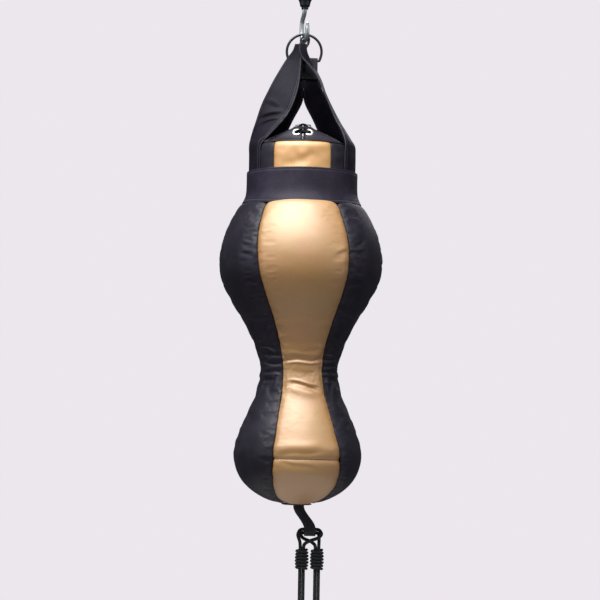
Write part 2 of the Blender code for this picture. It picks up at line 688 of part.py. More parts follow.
def make_ends():
    """A steel ferrule on each pair of cord ends, and the open hook that it carries."""
    for side, sign in (("left", -1), ("right", 1)):
        centre = Vector((TAIL_X + sign * LEG_OFFSET, 0, 0))
        top = FERRULE_TOP_Z
        low = top - FERRULE_LENGTH
        outer = 9.6 * MM
        cup = 7.3 * MM
        floor_z = top - 13 * MM
        profile = [(0.0, floor_z), (cup, floor_z), (cup, top), (outer - 0.6 * MM, top),
                   (outer, top - 1.5 * MM), (outer, low + 3 * MM), (6.0 * MM, low), (0.0, low)]
        turned("ferrule_" + side, profile, STEEL, steps=20, centre=centre)
        line = [centre + Vector((0, 0, low - GAP)), centre + Vector((0, 0, low - 8 * MM))]
        hook = 9.0 * MM
        for degree in range(130, -171, -25):
            angle = math.radians(degree)
            line.append(centre + Vector((hook * math.cos(angle) * sign, 0,
                                         low - 20 * MM + hook * math.sin(angle))))
        tube("floor_hook_" + side, catmull(line, 20), 2.2 * MM, STEEL, sides=6)


def main():
    make_swivel()
    make_hook()
    make_d_ring()
    make_front_loop()
    make_rear_loop()
    make_straps()
    make_lid()
    make_lace()
    make_collar()
    make_band()
    make_body()
    make_filling()
    make_base_patch()
    make_tail()
    make_cords()
    make_whippings()
    make_ends()


clear_scene()
PARTS = collection("punch_bag")
CUTTERS = collection("cutters")
main()
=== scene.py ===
"""Finished look of a hanging punch bag: leather, webbing, lace, hook, cords and a small studio.

Metres, +Z up, the front faces -Y. Azimuths are in degrees from the front, growing towards +X.
Each button in the sidebar makes one piece or one group of like pieces over the bag's frame.
"""
import math

import bmesh
import bpy
from mathutils import Matrix, Vector, noise


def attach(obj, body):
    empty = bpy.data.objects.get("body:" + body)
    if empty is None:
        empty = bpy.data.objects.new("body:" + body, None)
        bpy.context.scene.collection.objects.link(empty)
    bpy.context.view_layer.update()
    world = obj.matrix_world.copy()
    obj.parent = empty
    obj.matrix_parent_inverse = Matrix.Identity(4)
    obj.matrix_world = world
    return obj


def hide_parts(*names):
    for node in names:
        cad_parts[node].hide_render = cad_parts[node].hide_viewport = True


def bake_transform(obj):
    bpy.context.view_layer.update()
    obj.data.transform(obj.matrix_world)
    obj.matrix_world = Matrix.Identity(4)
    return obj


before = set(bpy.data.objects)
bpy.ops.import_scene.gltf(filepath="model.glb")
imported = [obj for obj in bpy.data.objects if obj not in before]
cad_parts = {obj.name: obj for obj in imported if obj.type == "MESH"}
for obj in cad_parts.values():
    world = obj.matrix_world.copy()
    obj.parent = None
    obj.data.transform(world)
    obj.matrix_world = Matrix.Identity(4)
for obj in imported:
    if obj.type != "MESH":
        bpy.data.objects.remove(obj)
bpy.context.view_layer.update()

bl_info = {
    "name": "Hanging punch bag finish",
    "version": (1, 0, 0),
    "blender": (4, 5, 0),
    "location": "3D View > Sidebar > Punch bag",
    "description": "Leather panels, straps, laced mouth, hook and elastic cords of a punch bag",
    "category": "Mesh",
}

MM = 0.001

# Leather body: height and outer radius, going down
BODY = [(-0.442, 0.1030), (-0.462, 0.1068), (-0.479, 0.1130), (-0.492, 0.1260), (-0.508, 0.1360),
        (-0.540, 0.1510), (-0.572, 0.1600), (-0.602, 0.1625), (-0.634, 0.1575), (-0.672, 0.1400),
        (-0.716, 0.1130), (-0.764, 0.0885), (-0.810, 0.0765), (-0.856, 0.0830), (-0.900, 0.1015),
        (-0.936, 0.1165), (-0.974, 0.1260), (-1.008, 0.1215), (-1.034, 0.1070), (-1.054, 0.0840),
        (-1.068, 0.0580), (-1.076, 0.0320)]
BODY_TOP_Z = -0.4425
CROSS_SEAM_Z = -0.990
# First seams of the two gold panels, and the seams between two black ones
GOLD_PANELS = (0, 3)
SIDE_SEAMS = (2, 5)
# Half angle of the gold panel by height
GOLD_HALF = [(-0.440, 33.0), (-0.480, 34.0), (-0.498, 35.0), (-0.550, 34.8),
             (-0.600, 33.8), (-0.700, 32.5), (-0.860, 31.2), (-0.940, 30.6),
             (-0.990, 32.5), (-1.030, 36.5), (-1.054, 43.0), (-1.068, 51.0), (-1.076, 58.0)]
COLLAR = [(-0.4365, 0.1028), (-0.4150, 0.1028), (-0.3830, 0.1028), (-0.3730, 0.1015),
          (-0.3680, 0.0985), (-0.3660, 0.0950)]
COLLAR_GOLD_HALF = 33.8
STRAP_RADIUS = 0.1049
STRAP_WIDTH = 60 * MM
BAND_WIDTH = 66 * MM
BAND_MEAN_RADIUS = 0.113
HOOK_TURN = math.radians(16.0)
HOOK_BEND = 20 * MM
HOOK_BEND_Z = -0.1295
RING_RADIUS = 35 * MM
RING_Y = 8.5 * MM
RING_Z = -0.1342 - RING_RADIUS
RING_BAR_Z = RING_Z - 18.5 * MM
HOOK_WEBBING = 12 * MM
RING_WEBBING = 55 * MM
TAIL_WEBBING = 22 * MM
LOOP_THICKNESS = 2.8 * MM
LID_BASE_Z = -0.3650
LID_RADIUS = 93.5 * MM
EYELET_X = 12.0 * MM
EYELET_Y = (-49.5 * MM, -19.0 * MM, 19.0 * MM, 49.5 * MM)
TAIL_X = 27.0 * MM
EYE_Z = -1.1302
LEG_OFFSET = 15.0 * MM
STRAND_OFFSET = 3.4 * MM
FERRULE_TOP_Z = -1.286
BINDING_TOP_Z = -1.1665
BINDING_TURNS = 6
BINDING_PITCH = 6.3 * MM
POINTS_PER_TURN = 28
# Clear of the floor hooks when the cords are stretched out
FLOOR_Z = -1.4500
FLOOR_RADIUS = 0.58

# Creases: height, azimuth, slope down to the right, half length, width above, width below, depth
GOLD_CREASES = [
    (-0.7965, 3.0, -0.02, 44, 6.5, 2.3, 3.0), (-0.7880, 0.0, 0.05, 18, 3.0, 4.0, 0.8),
    (-0.8445, 8.0, 0.17, 27, 2.6, 7.5, 2.7), (-0.8530, 20.0, 0.20, 12, 2.4, 5.0, 1.2),
    (-0.8210, 10.0, 0.08, 30, 5.0, 9.0, 0.7), (-0.8760, 10.0, 0.05, 30, 9.0, 16.0, 0.6),
    (-0.7790, 12.0, 0.05, 26, 4.0, 8.0, 0.5), (-0.9300, 6.0, 0.06, 38, 12.0, 20.0, 0.5),
    (-0.5900, 30.0, -0.35, 16, 4.0, 9.0, 1.2), (-0.9770, 4.0, -0.06, 44, 8.0, 5.0, 1.4),
    (-1.0020, 2.0, 0.16, 40, 3.0, 6.0, 0.7),
]
BLACK_CREASES = [
    (-0.7700, -50.0, 0.22, 22, 4.0, 2.2, 1.8), (-0.7860, -46.0, 0.16, 24, 4.0, 2.0, 2.0),
    (-0.8020, -48.0, 0.10, 26, 4.5, 2.0, 2.3), (-0.8200, -46.0, 0.05, 24, 4.5, 2.0, 2.3),
    (-0.8350, -52.0, 0.02, 18, 4.0, 2.5, 1.2), (-0.7560, -62.0, 0.20, 16, 4.0, 3.0, 1.2),
    (-0.7820, 52.0, -0.10, 14, 3.5, 2.0, 1.9), (-0.7930, 50.0, -0.06, 18, 3.5, 2.0, 2.1),
    (-0.8060, 54.0, -0.02, 18, 3.5, 2.0, 2.1), (-0.8190, 52.0, 0.02, 20, 3.5, 2.0, 2.1),
    (-0.8300, 56.0, 0.05, 22, 3.0, 6.0, 1.5), (-0.8420, 50.0, 0.05, 14, 2.5, 5.0, 1.0),
    (-0.5700, 45.0, -0.30, 12, 3.0, 6.0, 1.8), (-0.5860, 44.0, -0.20, 13, 3.0, 6.0, 1.5),
    (-0.6020, 43.0, -0.10, 11, 3.0, 6.0, 1.2), (-0.5760, -41.0, 0.25, 10, 3.0, 6.0, 1.6),
    (-0.5930, -40.0, 0.10, 10, 3.0, 6.0, 1.0), (-0.9890, -28.0, 0.10, 14, 3.0, 6.0, 1.6),
    (-0.9990, 47.0, -0.12, 13, 3.0, 6.0, 1.5), (-0.7900, 110.0, 0.08, 26, 4.0, 7.0, 1.6),
    (-0.8120, 120.0, -0.06, 30, 4.0, 7.0, 1.8), (-0.8300, 98.0, 0.05, 24, 4.0, 7.0, 1.4),
    (-0.7950, 235.0, -0.08, 28, 4.0, 7.0, 1.7), (-0.8170, 245.0, 0.06, 26, 4.0, 7.0, 1.6),
    (-0.8320, 262.0, -0.04, 22, 4.0, 7.0, 1.4),
]
BACK_CREASES = [
    (-0.7920, 184.0, 0.06, 38, 3.0, 7.0, 2.2), (-0.8230, 196.0, -0.12, 30, 4.0, 8.0, 2.0),
    (-0.8480, 186.0, 0.10, 26, 4.0, 9.0, 1.3), (-0.7700, 180.0, 0.02, 30, 6.0, 10.0, 0.8),
    (-0.9780, 190.0, 0.05, 42, 8.0, 5.0, 1.2), (-0.5980, 160.0, 0.20, 16, 4.0, 8.0, 1.0),
]


def number(name, description, default, **limits):
    return bpy.props.FloatProperty(
        name=name, description=description, default=default, **limits)


def length(name, description, default):
    return number(name, description, default, unit="LENGTH")


def power(name, description, default):
    return number(name, description, default, unit="POWER")


def colour(name, description, default):
    return bpy.props.FloatVectorProperty(
        name=name, description=description, default=default, subtype="COLOR", size=3,
        min=0.0, max=1.0)


class BagSizes(bpy.types.PropertyGroup):
    groove: length("Seam groove", "How far the leather is drawn in beside a seam", 3.4 * MM)
    pucker: length("Seam puckers", "Height of the small gathers along a seam", 0.9 * MM)
    gathers: length("Gathers", "Most that the simulated gathers may rise or sink", 1.6 * MM)
    creases: number("Creases", "Strength of the folds round the waist", 1.0,
                    min=0.0, max=2.0, subtype="FACTOR")
    unevenness: length("Unevenness", "Slow swells of the packed filling under the leather",
                       1.1 * MM)
    hide: length("Hide thickness", "Thickness of the leather sheets", 2.4 * MM)
    edge: length("Rolled edge", "Radius of the straps' rolled edges", 1.9 * MM)
    eyelet: length("Eyelet", "Radius of an eyelet's flange", 9.0 * MM)
    lace: length("Lace width", "Width of the flat lace", 5.4 * MM)
    cord: length("Elastic cord", "Diameter of the elastic cords", 6.8 * MM)
    stitch: length("Stitch", "Length of one stitch with its gap", 4.6 * MM)


class BagColours(bpy.types.PropertyGroup):
    black: colour("Black leather", "Colour of the black leather", (0.0165, 0.0138, 0.0245))
    gold: colour("Gold leather", "Colour of the gold leather", (0.54, 0.268, 0.046))
    thread: colour("Thread", "Colour of the stitching", (0.085, 0.085, 0.100))
    webbing: colour("Webbing", "Colour of the woven webbing", (0.012, 0.013, 0.020))
    cord: colour("Cord", "Colour of the cords and the lace", (0.009, 0.010, 0.0125))
    zinc: colour("Zinc", "Colour of the bright steel", (0.72, 0.77, 0.80))
    dark_steel: colour("Dark steel", "Colour of the blackened steel", (0.055, 0.058, 0.065))
    nickel: colour("Nickel", "Colour of the eyelets", (0.93, 0.92, 0.90))


class BagStage(bpy.types.PropertyGroup):
    distance: length("Camera distance", "From the camera to the bag's axis", 4.13)
    height: length("Camera height", "Height of the camera from the ceiling eye", -0.99)
    tilt: number("Tilt", "How far the camera looks up", math.radians(4.4), subtype="ANGLE")
    roll: number("Roll", "Turn of the picture, as the bag leans in it", math.radians(0.97),
                 subtype="ANGLE")
    lens: number("Focal length", "Focal length on a 36 mm sensor", 124.6, unit="CAMERA")
    backdrop: colour("Backdrop", "Colour of the pale surroundings", (0.835, 0.800, 0.845))
    floor: colour("Floor", "Colour of the floor", (0.46, 0.45, 0.46))
    ambient: number("Ambient light", "Strength of the even light from all round", 0.08)
    key: power("Key light", "Power of the large soft light above the front", 222.0)
    fill: power("Side light", "Power of each weak light from the side", 7.0)
    rear: power("Back light", "Power of the soft light behind, for views of the back", 18.0)


def sizes():
    return bpy.context.scene.bag_sizes


def colours():
    return bpy.context.scene.bag_colours


# Small geometry helpers

def catmull(a, b, c, d, t):
    """Between b and c at t from 0 to 1, on a smooth curve that also passes a and d."""
    return 0.5 * (2 * b + (c - a) * t + (2 * a - 5 * b + 4 * c - d) * t * t
                  + (3 * b - a - 3 * c + d) * t ** 3)


def run_of(points):
    """How far along a line each of its points comes."""
    run = [0.0]
    for a, b in zip(points, points[1:]):
        run.append(run[-1] + (b - a).length)
    return run


def spline(points, count, cyclic=False):
    """A smooth line through points, as count points evenly spaced along it."""
    points = [Vector(point) for point in points]
    if cyclic:
        ends = [points[-1]] + points + points[:2]
    else:
        ends = [2 * points[0] - points[1]] + points + [2 * points[-1] - points[-2]]
    dense = []
    for four in zip(ends, ends[1:], ends[2:], ends[3:]):
        dense += [catmull(*four, k / 24) for k in range(24)]
    dense.append(points[0] if cyclic else points[-1])
    run = run_of(dense)
    made = []
    k = 0
    for n in range(count):
        want = run[-1] * n / (count if cyclic else count - 1)
        while k < len(run) - 2 and run[k + 1] < want:
            k += 1
        share = (want - run[k]) / max(run[k + 1] - run[k], 1e-12)
        made.append(dense[k].lerp(dense[k + 1], min(max(share, 0.0), 1.0)))
    return made


def between(table, z):
    """The value at height z in a table of (height, value) that goes down."""
    if z >= table[0][0]:
        return table[0][1]
    for (z0, v0), (z1, v1) in zip(table, table[1:]):
        if z >= z1:
            return v0 + (v1 - v0) * (z0 - z) / (z0 - z1)
    return table[-1][1]


def along(line, share):
    """The point at a share from 0 to 1 of a list of evenly spaced points."""
    place = min(max(share, 0.0), 1.0) * (len(line) - 1)
    k = min(int(place), len(line) - 2)
    return line[k].lerp(line[k + 1], place - k)


def smooth_step(low, high, value):
    share = min(max((value - low) / (high - low), 0.0), 1.0)
    return share * share * (3 - 2 * share)


def around(radius, azimuth, z):
    angle = math.radians(azimuth)
    return Vector((radius * math.sin(angle), -radius * math.cos(angle), z))


def ripple(x, y, z, seed=0.0):
    return noise.noise(Vector((x + seed, y - seed, z)))


def millimetres(rows):
    return [Vector(row) * MM for row in rows]


# Pieces

def object_of(name, shape):
    """Puts a bmesh into the scene as an object."""
    mesh = bpy.data.meshes.new(name)
    shape.to_mesh(mesh)
    shape.free()
    item = bpy.data.objects.new(name, mesh)
    bpy.context.scene.collection.objects.link(item)
    return item


def piece(name, shape, finish, body, nodes=()):
    """Makes an object of a bmesh, rides it on a body and hides the imported parts that it stands
    for.
    """
    item = object_of(name, shape)
    item.data.shade_smooth()
    item.data.materials.append(finish)
    if body:
        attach(item, body)
    if nodes:
        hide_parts(*nodes)
    return item


def sheet(columns, rows, place_at, size=(1.0, 1.0)):
    """A plane of columns by rows laid where place_at(u, v) says, its UV map in metres."""
    shape = bmesh.new()
    chart = shape.loops.layers.uv.new("UVMap")
    bmesh.ops.create_grid(shape, x_segments=columns, y_segments=rows, size=0.5)
    spots = {vert: (vert.co.x + 0.5, vert.co.y + 0.5) for vert in shape.verts}
    for face in shape.faces:
        for loop in face.loops:
            u, v = spots[loop.vert]
            loop[chart].uv = (u * size[0], v * size[1])
    for vert, (u, v) in spots.items():
        vert.co = place_at(u, v)
    return shape


def thicken(item, thickness, offset=-1.0, edge=0.0, smooth=0):
    wall = item.modifiers.new("Thickness", "SOLIDIFY")
    wall.thickness = thickness
    wall.offset = offset
    if edge:
        soft = item.modifiers.new("Soft edges", "BEVEL")
        soft.width = edge
        soft.segments = 2
        soft.limit_method = "ANGLE"
        soft.angle_limit = math.radians(50)
    if smooth:
        rounded = item.modifiers.new("Smooth", "SUBSURF")
        rounded.levels = smooth
        rounded.render_levels = smooth
    return item


def cut_from(line):
    """Works out the length, rounded up to a millimetre, that a strip of webbing or leather was
    cut to before it was hung; the length is not kept.
    """
    long = math.ceil(run_of(line)[-1] / MM) * MM


def frames(path, cyclic, start=None):
    """A direction, a side and an up for each point of path, turning as little as they can."""
    count = len(path)
    tangents = []
    for k in range(count):
        after = path[(k + 1) % count] if cyclic or k < count - 1 else path[k]
        before = path[k - 1] if cyclic or k > 0 else path[k]
        tangents.append((after - before).normalized())
    up = start or Vector((0, 0, 1)).cross(tangents[0])
    if up.length < 0.01:
        up = Vector((1, 0, 0))
    made = []
    for tangent in tangents:
        up = (up - tangent * up.dot(tangent)).normalized()
        made.append((tangent, up, tangent.cross(up)))
    return made


def edges_at(verts, wanted):
    """The wanted edges at some vertices, each once and in the same order at every run."""
    return list(dict.fromkeys(edge for vert in verts for edge in vert.link_edges
                              if wanted(vert, edge)))


def bar(path, radius, sides=20, cyclic=False, flat=1.0, start=None, shape=None):
    """A bar drawn along path from a circle. radius is a number or a function of 0 to 1."""
    shape = shape or bmesh.new()
    chart = shape.loops.layers.uv.verify()
    made = bmesh.ops.create_circle(shape, cap_ends=False, segments=sides, radius=1.0)
    ring = made["verts"]
    unit = [vert.co.copy() for vert in ring]
    run = run_of(path)
    spots = {}
    axes = frames(path, cyclic, start)
    first = list(ring)
    for n, (tangent, side, up) in enumerate(axes):
        if n:
            edges = edges_at(ring, lambda vert, edge: edge.other_vert(vert) in ring)
            drawn = bmesh.ops.extrude_edge_only(shape, edges=edges)
            fresh = [item for item in drawn["geom"] if isinstance(item, bmesh.types.BMVert)]
            order = {vert: k for k, vert in enumerate(ring)}
            following = [None] * sides
            for vert in fresh:
                for edge in vert.link_edges:
                    k = order.get(edge.other_vert(vert))
                    if k is not None:
                        following[k] = vert
            ring = following
        thick = radius(n / (len(path) - 1)) if callable(radius) else radius
        for k, vert in enumerate(ring):
            vert.co = path[n] + (side * unit[k].x + up * unit[k].y * flat) * thick
            spots[vert] = (k, run[n])
    if cyclic:
        edges = edges_at(ring + first, lambda vert, edge: edge.is_boundary)
        bmesh.ops.bridge_loops(shape, edges=edges)
    else:
        for loop in (first, ring):
            edges = edges_at(loop, lambda vert, edge: edge.is_boundary)
            bmesh.ops.edgeloop_fill(shape, edges=edges)
    fresh_faces = [face for face in shape.faces if face.verts[0] in spots]
    for face in fresh_faces:
        wraps = {spots[vert][0] for vert in face.verts} >= {0, sides - 1}
        for loop in face.loops:
            k, length = spots[loop.vert]
            if wraps and k == 0 and len(face.verts) == 4:
                k = sides
            loop[chart].uv = (k / sides, length)
    bmesh.ops.recalc_face_normals(shape, faces=fresh_faces)
    return shape


def turned(profile, steps=64, place_at=Matrix(), closed=False):
    """A turned solid from a profile of (radius, height)."""
    shape = bmesh.new()
    verts = [shape.verts.new((radius, 0.0, z)) for radius, z in profile]
    edges = [shape.edges.new(pair) for pair in zip(verts, verts[1:])]
    if closed:
        edges.append(shape.edges.new((verts[-1], verts[0])))
    bmesh.ops.spin(shape, geom=verts + edges, cent=(0, 0, 0), axis=(0, 0, 1), dvec=(0, 0, 0),
                   angle=2 * math.pi, steps=steps, use_merge=True, use_duplicate=False)
    bmesh.ops.remove_doubles(shape, verts=shape.verts, dist=1e-6)
    bmesh.ops.recalc_face_normals(shape, faces=shape.faces)
    bmesh.ops.transform(shape, matrix=place_at, verts=shape.verts)
    return shape


# Materials

class Signal:
    """One output of a material's nodes. Sums on it add Math nodes to that material."""

    def __init__(self, finish, socket):
        self.finish = finish
        self.socket = socket

    def __add__(self, other):
        return self.finish.sum_of("ADD", self, other)

    __radd__ = __add__

    def __sub__(self, other):
        return self.finish.sum_of("SUBTRACT", self, other)

    def __rsub__(self, other):
        return self.finish.sum_of("SUBTRACT", other, self)

    def __mul__(self, other):
        return self.finish.sum_of("MULTIPLY", self, other)

    __rmul__ = __mul__

    def __truediv__(self, other):
        return self.finish.sum_of("DIVIDE", self, other)

    def __abs__(self):
        return self.finish.sum_of("ABSOLUTE", self)

    def __gt__(self, other):
        return self.finish.sum_of("GREATER_THAN", self, other)

    def sine(self):
        return self.finish.sum_of("SINE", self)

    def or_more(self, other):
        return self.finish.sum_of("MAXIMUM", self, other)

    def clamped(self):
        return self.finish.node("ShaderNodeClamp", {}, {0: self})

    def ramp(self, low, high):
        """0 below low, 1 above high, and a smooth rise between them."""
        return self.finish.node("ShaderNodeMapRange", {"interpolation_type": "SMOOTHSTEP"},
                                {0: self, 1: low, 2: high, 3: 0.0, 4: 1.0})


class Finish:
    """One material's nodes round its Principled shader."""

    def __init__(self, name, **steady):
        self.material = bpy.data.materials.new(name)
        self.material.use_nodes = True
        self.tree = self.material.node_tree
        self.shader = self.tree.nodes["Principled BSDF"]
        for socket, value in steady.items():
            self.shader.inputs[socket.replace("_", " ")].default_value = value

    def node(self, kind, settings=None, values=None, output=0):
        """Adds a node, sets its settings and then its inputs, and gives back one output."""
        made = self.tree.nodes.new(kind)
        for name, value in (settings or {}).items():
            if name == "stops":
                while len(made.color_ramp.elements) < len(value):
                    made.color_ramp.elements.new(1.0)
                for stop, (place, tone) in zip(made.color_ramp.elements, value):
                    stop.position = place
                    stop.color = (*tone, 1.0)
            else:
                setattr(made, name, value)
        for socket, value in (values or {}).items():
            entry = made.inputs[socket]
            if isinstance(value, Signal):
                self.tree.links.new(value.socket, entry)
            else:
                entry.default_value = value
        return Signal(self, made.outputs[output])

    def sum_of(self, operation, *values):
        return self.node("ShaderNodeMath", {"operation": operation}, dict(enumerate(values)))

    def position(self):
        return self.node("ShaderNodeTexCoord", output="Object")

    def chart(self):
        """The two axes of the piece's own UV map, in metres."""
        split = self.node("ShaderNodeSeparateXYZ", {},
                          {0: self.node("ShaderNodeTexCoord", output="UV")})
        return split, Signal(self, split.socket.node.outputs[1])

    def stretched(self, vector, scale):
        return self.node("ShaderNodeVectorMath", {"operation": "MULTIPLY"},
                         {0: vector, 1: scale})

    def cloud(self, scale, detail=3.0, roughness=0.55, vector=None):
        return self.node("ShaderNodeTexNoise", {},
                         {"Vector": vector or self.position(), "Scale": scale,
                          "Detail": detail, "Roughness": roughness})

    def cells(self, scale, feature="F1", vector=None, **values):
        return self.node("ShaderNodeTexVoronoi", {"feature": feature},
                         {"Vector": vector or self.position(), "Scale": scale, **values})

    def blend(self, share, first, second):
        """A colour from first to second. Each is a colour or a signal."""
        values = {"Factor": share, 6: first, 7: second}
        values = {key: (*value, 1.0) if isinstance(value, tuple) else value
                  for key, value in values.items()}
        return self.node("ShaderNodeMix", {"data_type": "RGBA"}, values, output=2)

    def drive(self, socket, signal):
        self.tree.links.new(signal.socket, self.shader.inputs[socket])

    def bump(self, height, distance, strength=1.0):
        """Relief from a height in shares of distance."""
        self.drive("Normal", self.node("ShaderNodeBump", {},
                                       {"Strength": strength, "Distance": distance,
                                        "Height": height}))
        return self.material


def shade(tone, amount):
    return tuple(min(max(part * amount, 0.0), 1.0) for part in tone)


def dashes(finish, across, run, line, pitch, half=0.45 * MM):
    """1 on the threads of a stitch row that runs along a line at one place across."""
    near = 1.0 - abs(across - line).ramp(half * 0.5, half * 1.5)
    step = finish.sum_of("PINGPONG", run, pitch / 2)
    return near * step.ramp(pitch * 0.10, pitch * 0.17)


def black_leather(name, rows=(), pale=1.0, sheen=0.38):
    """Satin black hide: fine pebbled grain, slow cloudiness and stitch rows where named."""
    # pale paints the whole hide lighter above 1 and darker below 1: the straps, band and edges
    # use it as painted shade and painted light.
    tone = shade(tuple(colours().black), pale)
    finish = Finish(name, Specular_IOR_Level=sheen, Coat_Weight=0.15 * sheen,
                    Coat_Roughness=0.36)
    pebbles = finish.cells(620.0, "SMOOTH_F1")
    pores = finish.cloud(1400.0, 2.0)
    slow = finish.cloud(26.0, 4.0)
    fine = finish.cloud(190.0, 3.0)
    height = (1.0 - pebbles) * 0.55 + pores * 0.25 + fine * 0.5
    skin = finish.blend(slow.ramp(0.35, 0.70), shade(tone, 0.80), shade(tone, 1.35))
    # Painted shade: the hide is painted darker in the grooves between the pebbles.
    skin = finish.blend(pebbles.ramp(0.45, 0.75) * 0.55, skin, shade(tone, 0.5))
    roughness = 0.43 + slow * 0.14 + fine * 0.06
    if rows:
        across, run = finish.chart()
        pitch = sizes().stitch
        for line in rows:
            thread = dashes(finish, across, run, line, pitch)
            furrow = 1.0 - abs(across - line).ramp(0.4 * MM, 2.6 * MM)
            skin = finish.blend(thread, skin, tuple(colours().thread))
            height = height - furrow * 3.0 + thread * 3.4
    finish.drive("Base Color", skin)
    finish.drive("Roughness", roughness.clamped())
    return finish.bump(height, 0.16 * MM, 0.75)


def gold_leather(name, seam_row=None, pale=1.0):
    """Metallic gold hide: a pearly coat over fine grain, warmer where it is rubbed."""
    # pale above 1 paints the whole gold lighter: the collar's copy uses it as painted light.
    tone = shade(tuple(colours().gold), pale)
    finish = Finish(name, Specular_IOR_Level=1.0, Coat_Weight=1.0, Coat_Roughness=0.58,
                    Coat_IOR=2.3)
    pebbles = finish.cells(560.0, "SMOOTH_F1")
    slow = finish.cloud(14.0, 3.0)
    fine = finish.cloud(230.0, 3.0)
    flakes = finish.cells(2600.0)
    warm = (tone[0] * 0.99, tone[1] * 0.89, tone[2] * 0.98)
    skin = finish.blend(slow.ramp(0.36, 0.66), tone, warm)
    skin = finish.blend(flakes.ramp(0.35, 0.9) * 0.25, skin, shade(tone, 1.25))
    # Painted shade: the gold is painted darker in the grooves between the pebbles.
    skin = finish.blend(pebbles.ramp(0.5, 0.8) * 0.35, skin, shade(tone, 0.6))
    height = (1.0 - pebbles) * 0.5 + fine * 0.5
    if seam_row is not None:
        across, run = finish.chart()
        thread = dashes(finish, run, across, seam_row, 3.4 * MM, 0.5 * MM)
        furrow = 1.0 - abs(run - seam_row).ramp(0.4 * MM, 2.4 * MM)
        skin = finish.blend(thread * 0.8, skin, (0.10, 0.06, 0.03))
        height = height - furrow * 2.4
    finish.drive("Base Color", skin)
    finish.drive("Metallic", 0.20 - slow * 0.10)
    finish.drive("Roughness", (0.46 + slow * 0.10 + fine * 0.08).clamped())
    return finish.bump(height, 0.13 * MM, 0.6)


def woven(name, rib=2.1 * MM, rows=()):
    """Woven webbing: ribs along its length crossed by fine picks, and fuzzy edges."""
    tone = tuple(colours().webbing)
    finish = Finish(name, Specular_IOR_Level=0.35, Sheen_Weight=0.25, Sheen_Roughness=0.5)
    across, run = finish.chart()
    wave = (across * (2 * math.pi / rib)).sine()
    picks = ((run + abs(wave) * (rib * 0.35)) * (2 * math.pi / (rib * 0.62))).sine()
    height = abs(wave) * 0.6 + picks * 0.4
    slow = finish.cloud(60.0, 3.0)
    fuzz = finish.cloud(1500.0, 2.0)
    # Painted highlight and shade: the threads are painted lighter where they rise and darker
    # where they sink.
    skin = finish.blend((height * 0.5 + 0.3).clamped(), shade(tone, 0.5), shade(tone, 2.4))
    skin = finish.blend(slow.ramp(0.4, 0.8) * 0.5, skin, shade(tone, 3.2))
    for line in rows:
        thread = dashes(finish, across, run, line, sizes().stitch, 0.5 * MM)
        skin = finish.blend(thread, skin, tuple(colours().thread))
        height = height + thread * 1.5
    finish.drive("Base Color", skin)
    finish.drive("Roughness", (0.62 + fuzz * 0.25).clamped())
    return finish.bump(height + fuzz * 0.3, 0.45 * MM, 0.9)


def braided(name, strands=16, pitch=7.0 * MM, flecks=0.0):
    """Braided sheath: two sets of strands winding opposite ways round the cord."""
    tone = tuple(colours().cord)
    finish = Finish(name, Specular_IOR_Level=0.2, Sheen_Weight=0.1, Sheen_Roughness=0.5)
    turn, run = finish.chart()
    first = abs(((turn * strands + run / pitch * (strands / 4)) * math.pi).sine())
    second = abs(((turn * strands - run / pitch * (strands / 4)) * math.pi).sine())
    height = first.or_more(second)
    fuzz = finish.cloud(1600.0, 2.0)
    # Painted highlight and shade: the strands are painted lighter on their crowns and darker
    # between them.
    skin = finish.blend(height.ramp(0.55, 1.0), shade(tone, 0.45), shade(tone, 2.2))
    if flecks:
        mark = (first > 0.93) * (finish.cloud(420.0, 1.0) > 0.56)
        skin = finish.blend(mark * flecks, skin, (0.22, 0.24, 0.22))
    finish.drive("Base Color", skin)
    finish.drive("Roughness", (0.60 + fuzz * 0.25).clamped())
    return finish.bump(height + fuzz * 0.25, 0.4 * MM, 0.9)


def metal(name, roughness, brushed, darkening):
    """Plated steel in the colour of its name; darkening dulls its shine."""
    tone = tuple(getattr(colours(), name.replace(" ", "_")))
    finish = Finish(name, Metallic=1.0 - darkening)
    slow = finish.cloud(70.0, 3.0)
    scratches = finish.cloud(40.0, 3.0, 0.6, finish.stretched(finish.position(),
                                                           (9.0, 9.0, 1.0)))
    skin = finish.blend(slow.ramp(0.35, 0.75), tone, shade(tone, 0.88))
    skin = finish.blend(scratches.ramp(0.60, 0.80) * 0.15, skin, shade(tone, 1.15))
    finish.drive("Base Color", skin)
    finish.drive("Roughness", (roughness + slow * 0.12 + scratches * brushed).clamped())
    return finish.bump(scratches * 0.3 + slow * 0.7, 0.015 * MM, 0.25)


def plain_floor(name, tone):
    finish = Finish(name, Specular_IOR_Level=0.3)
    slow = finish.cloud(1.4, 3.0)
    finish.drive("Base Color", finish.blend(slow, shade(tone, 0.985), shade(tone, 1.01)))
    finish.drive("Roughness", 0.62 + slow * 0.1)
    return finish.material


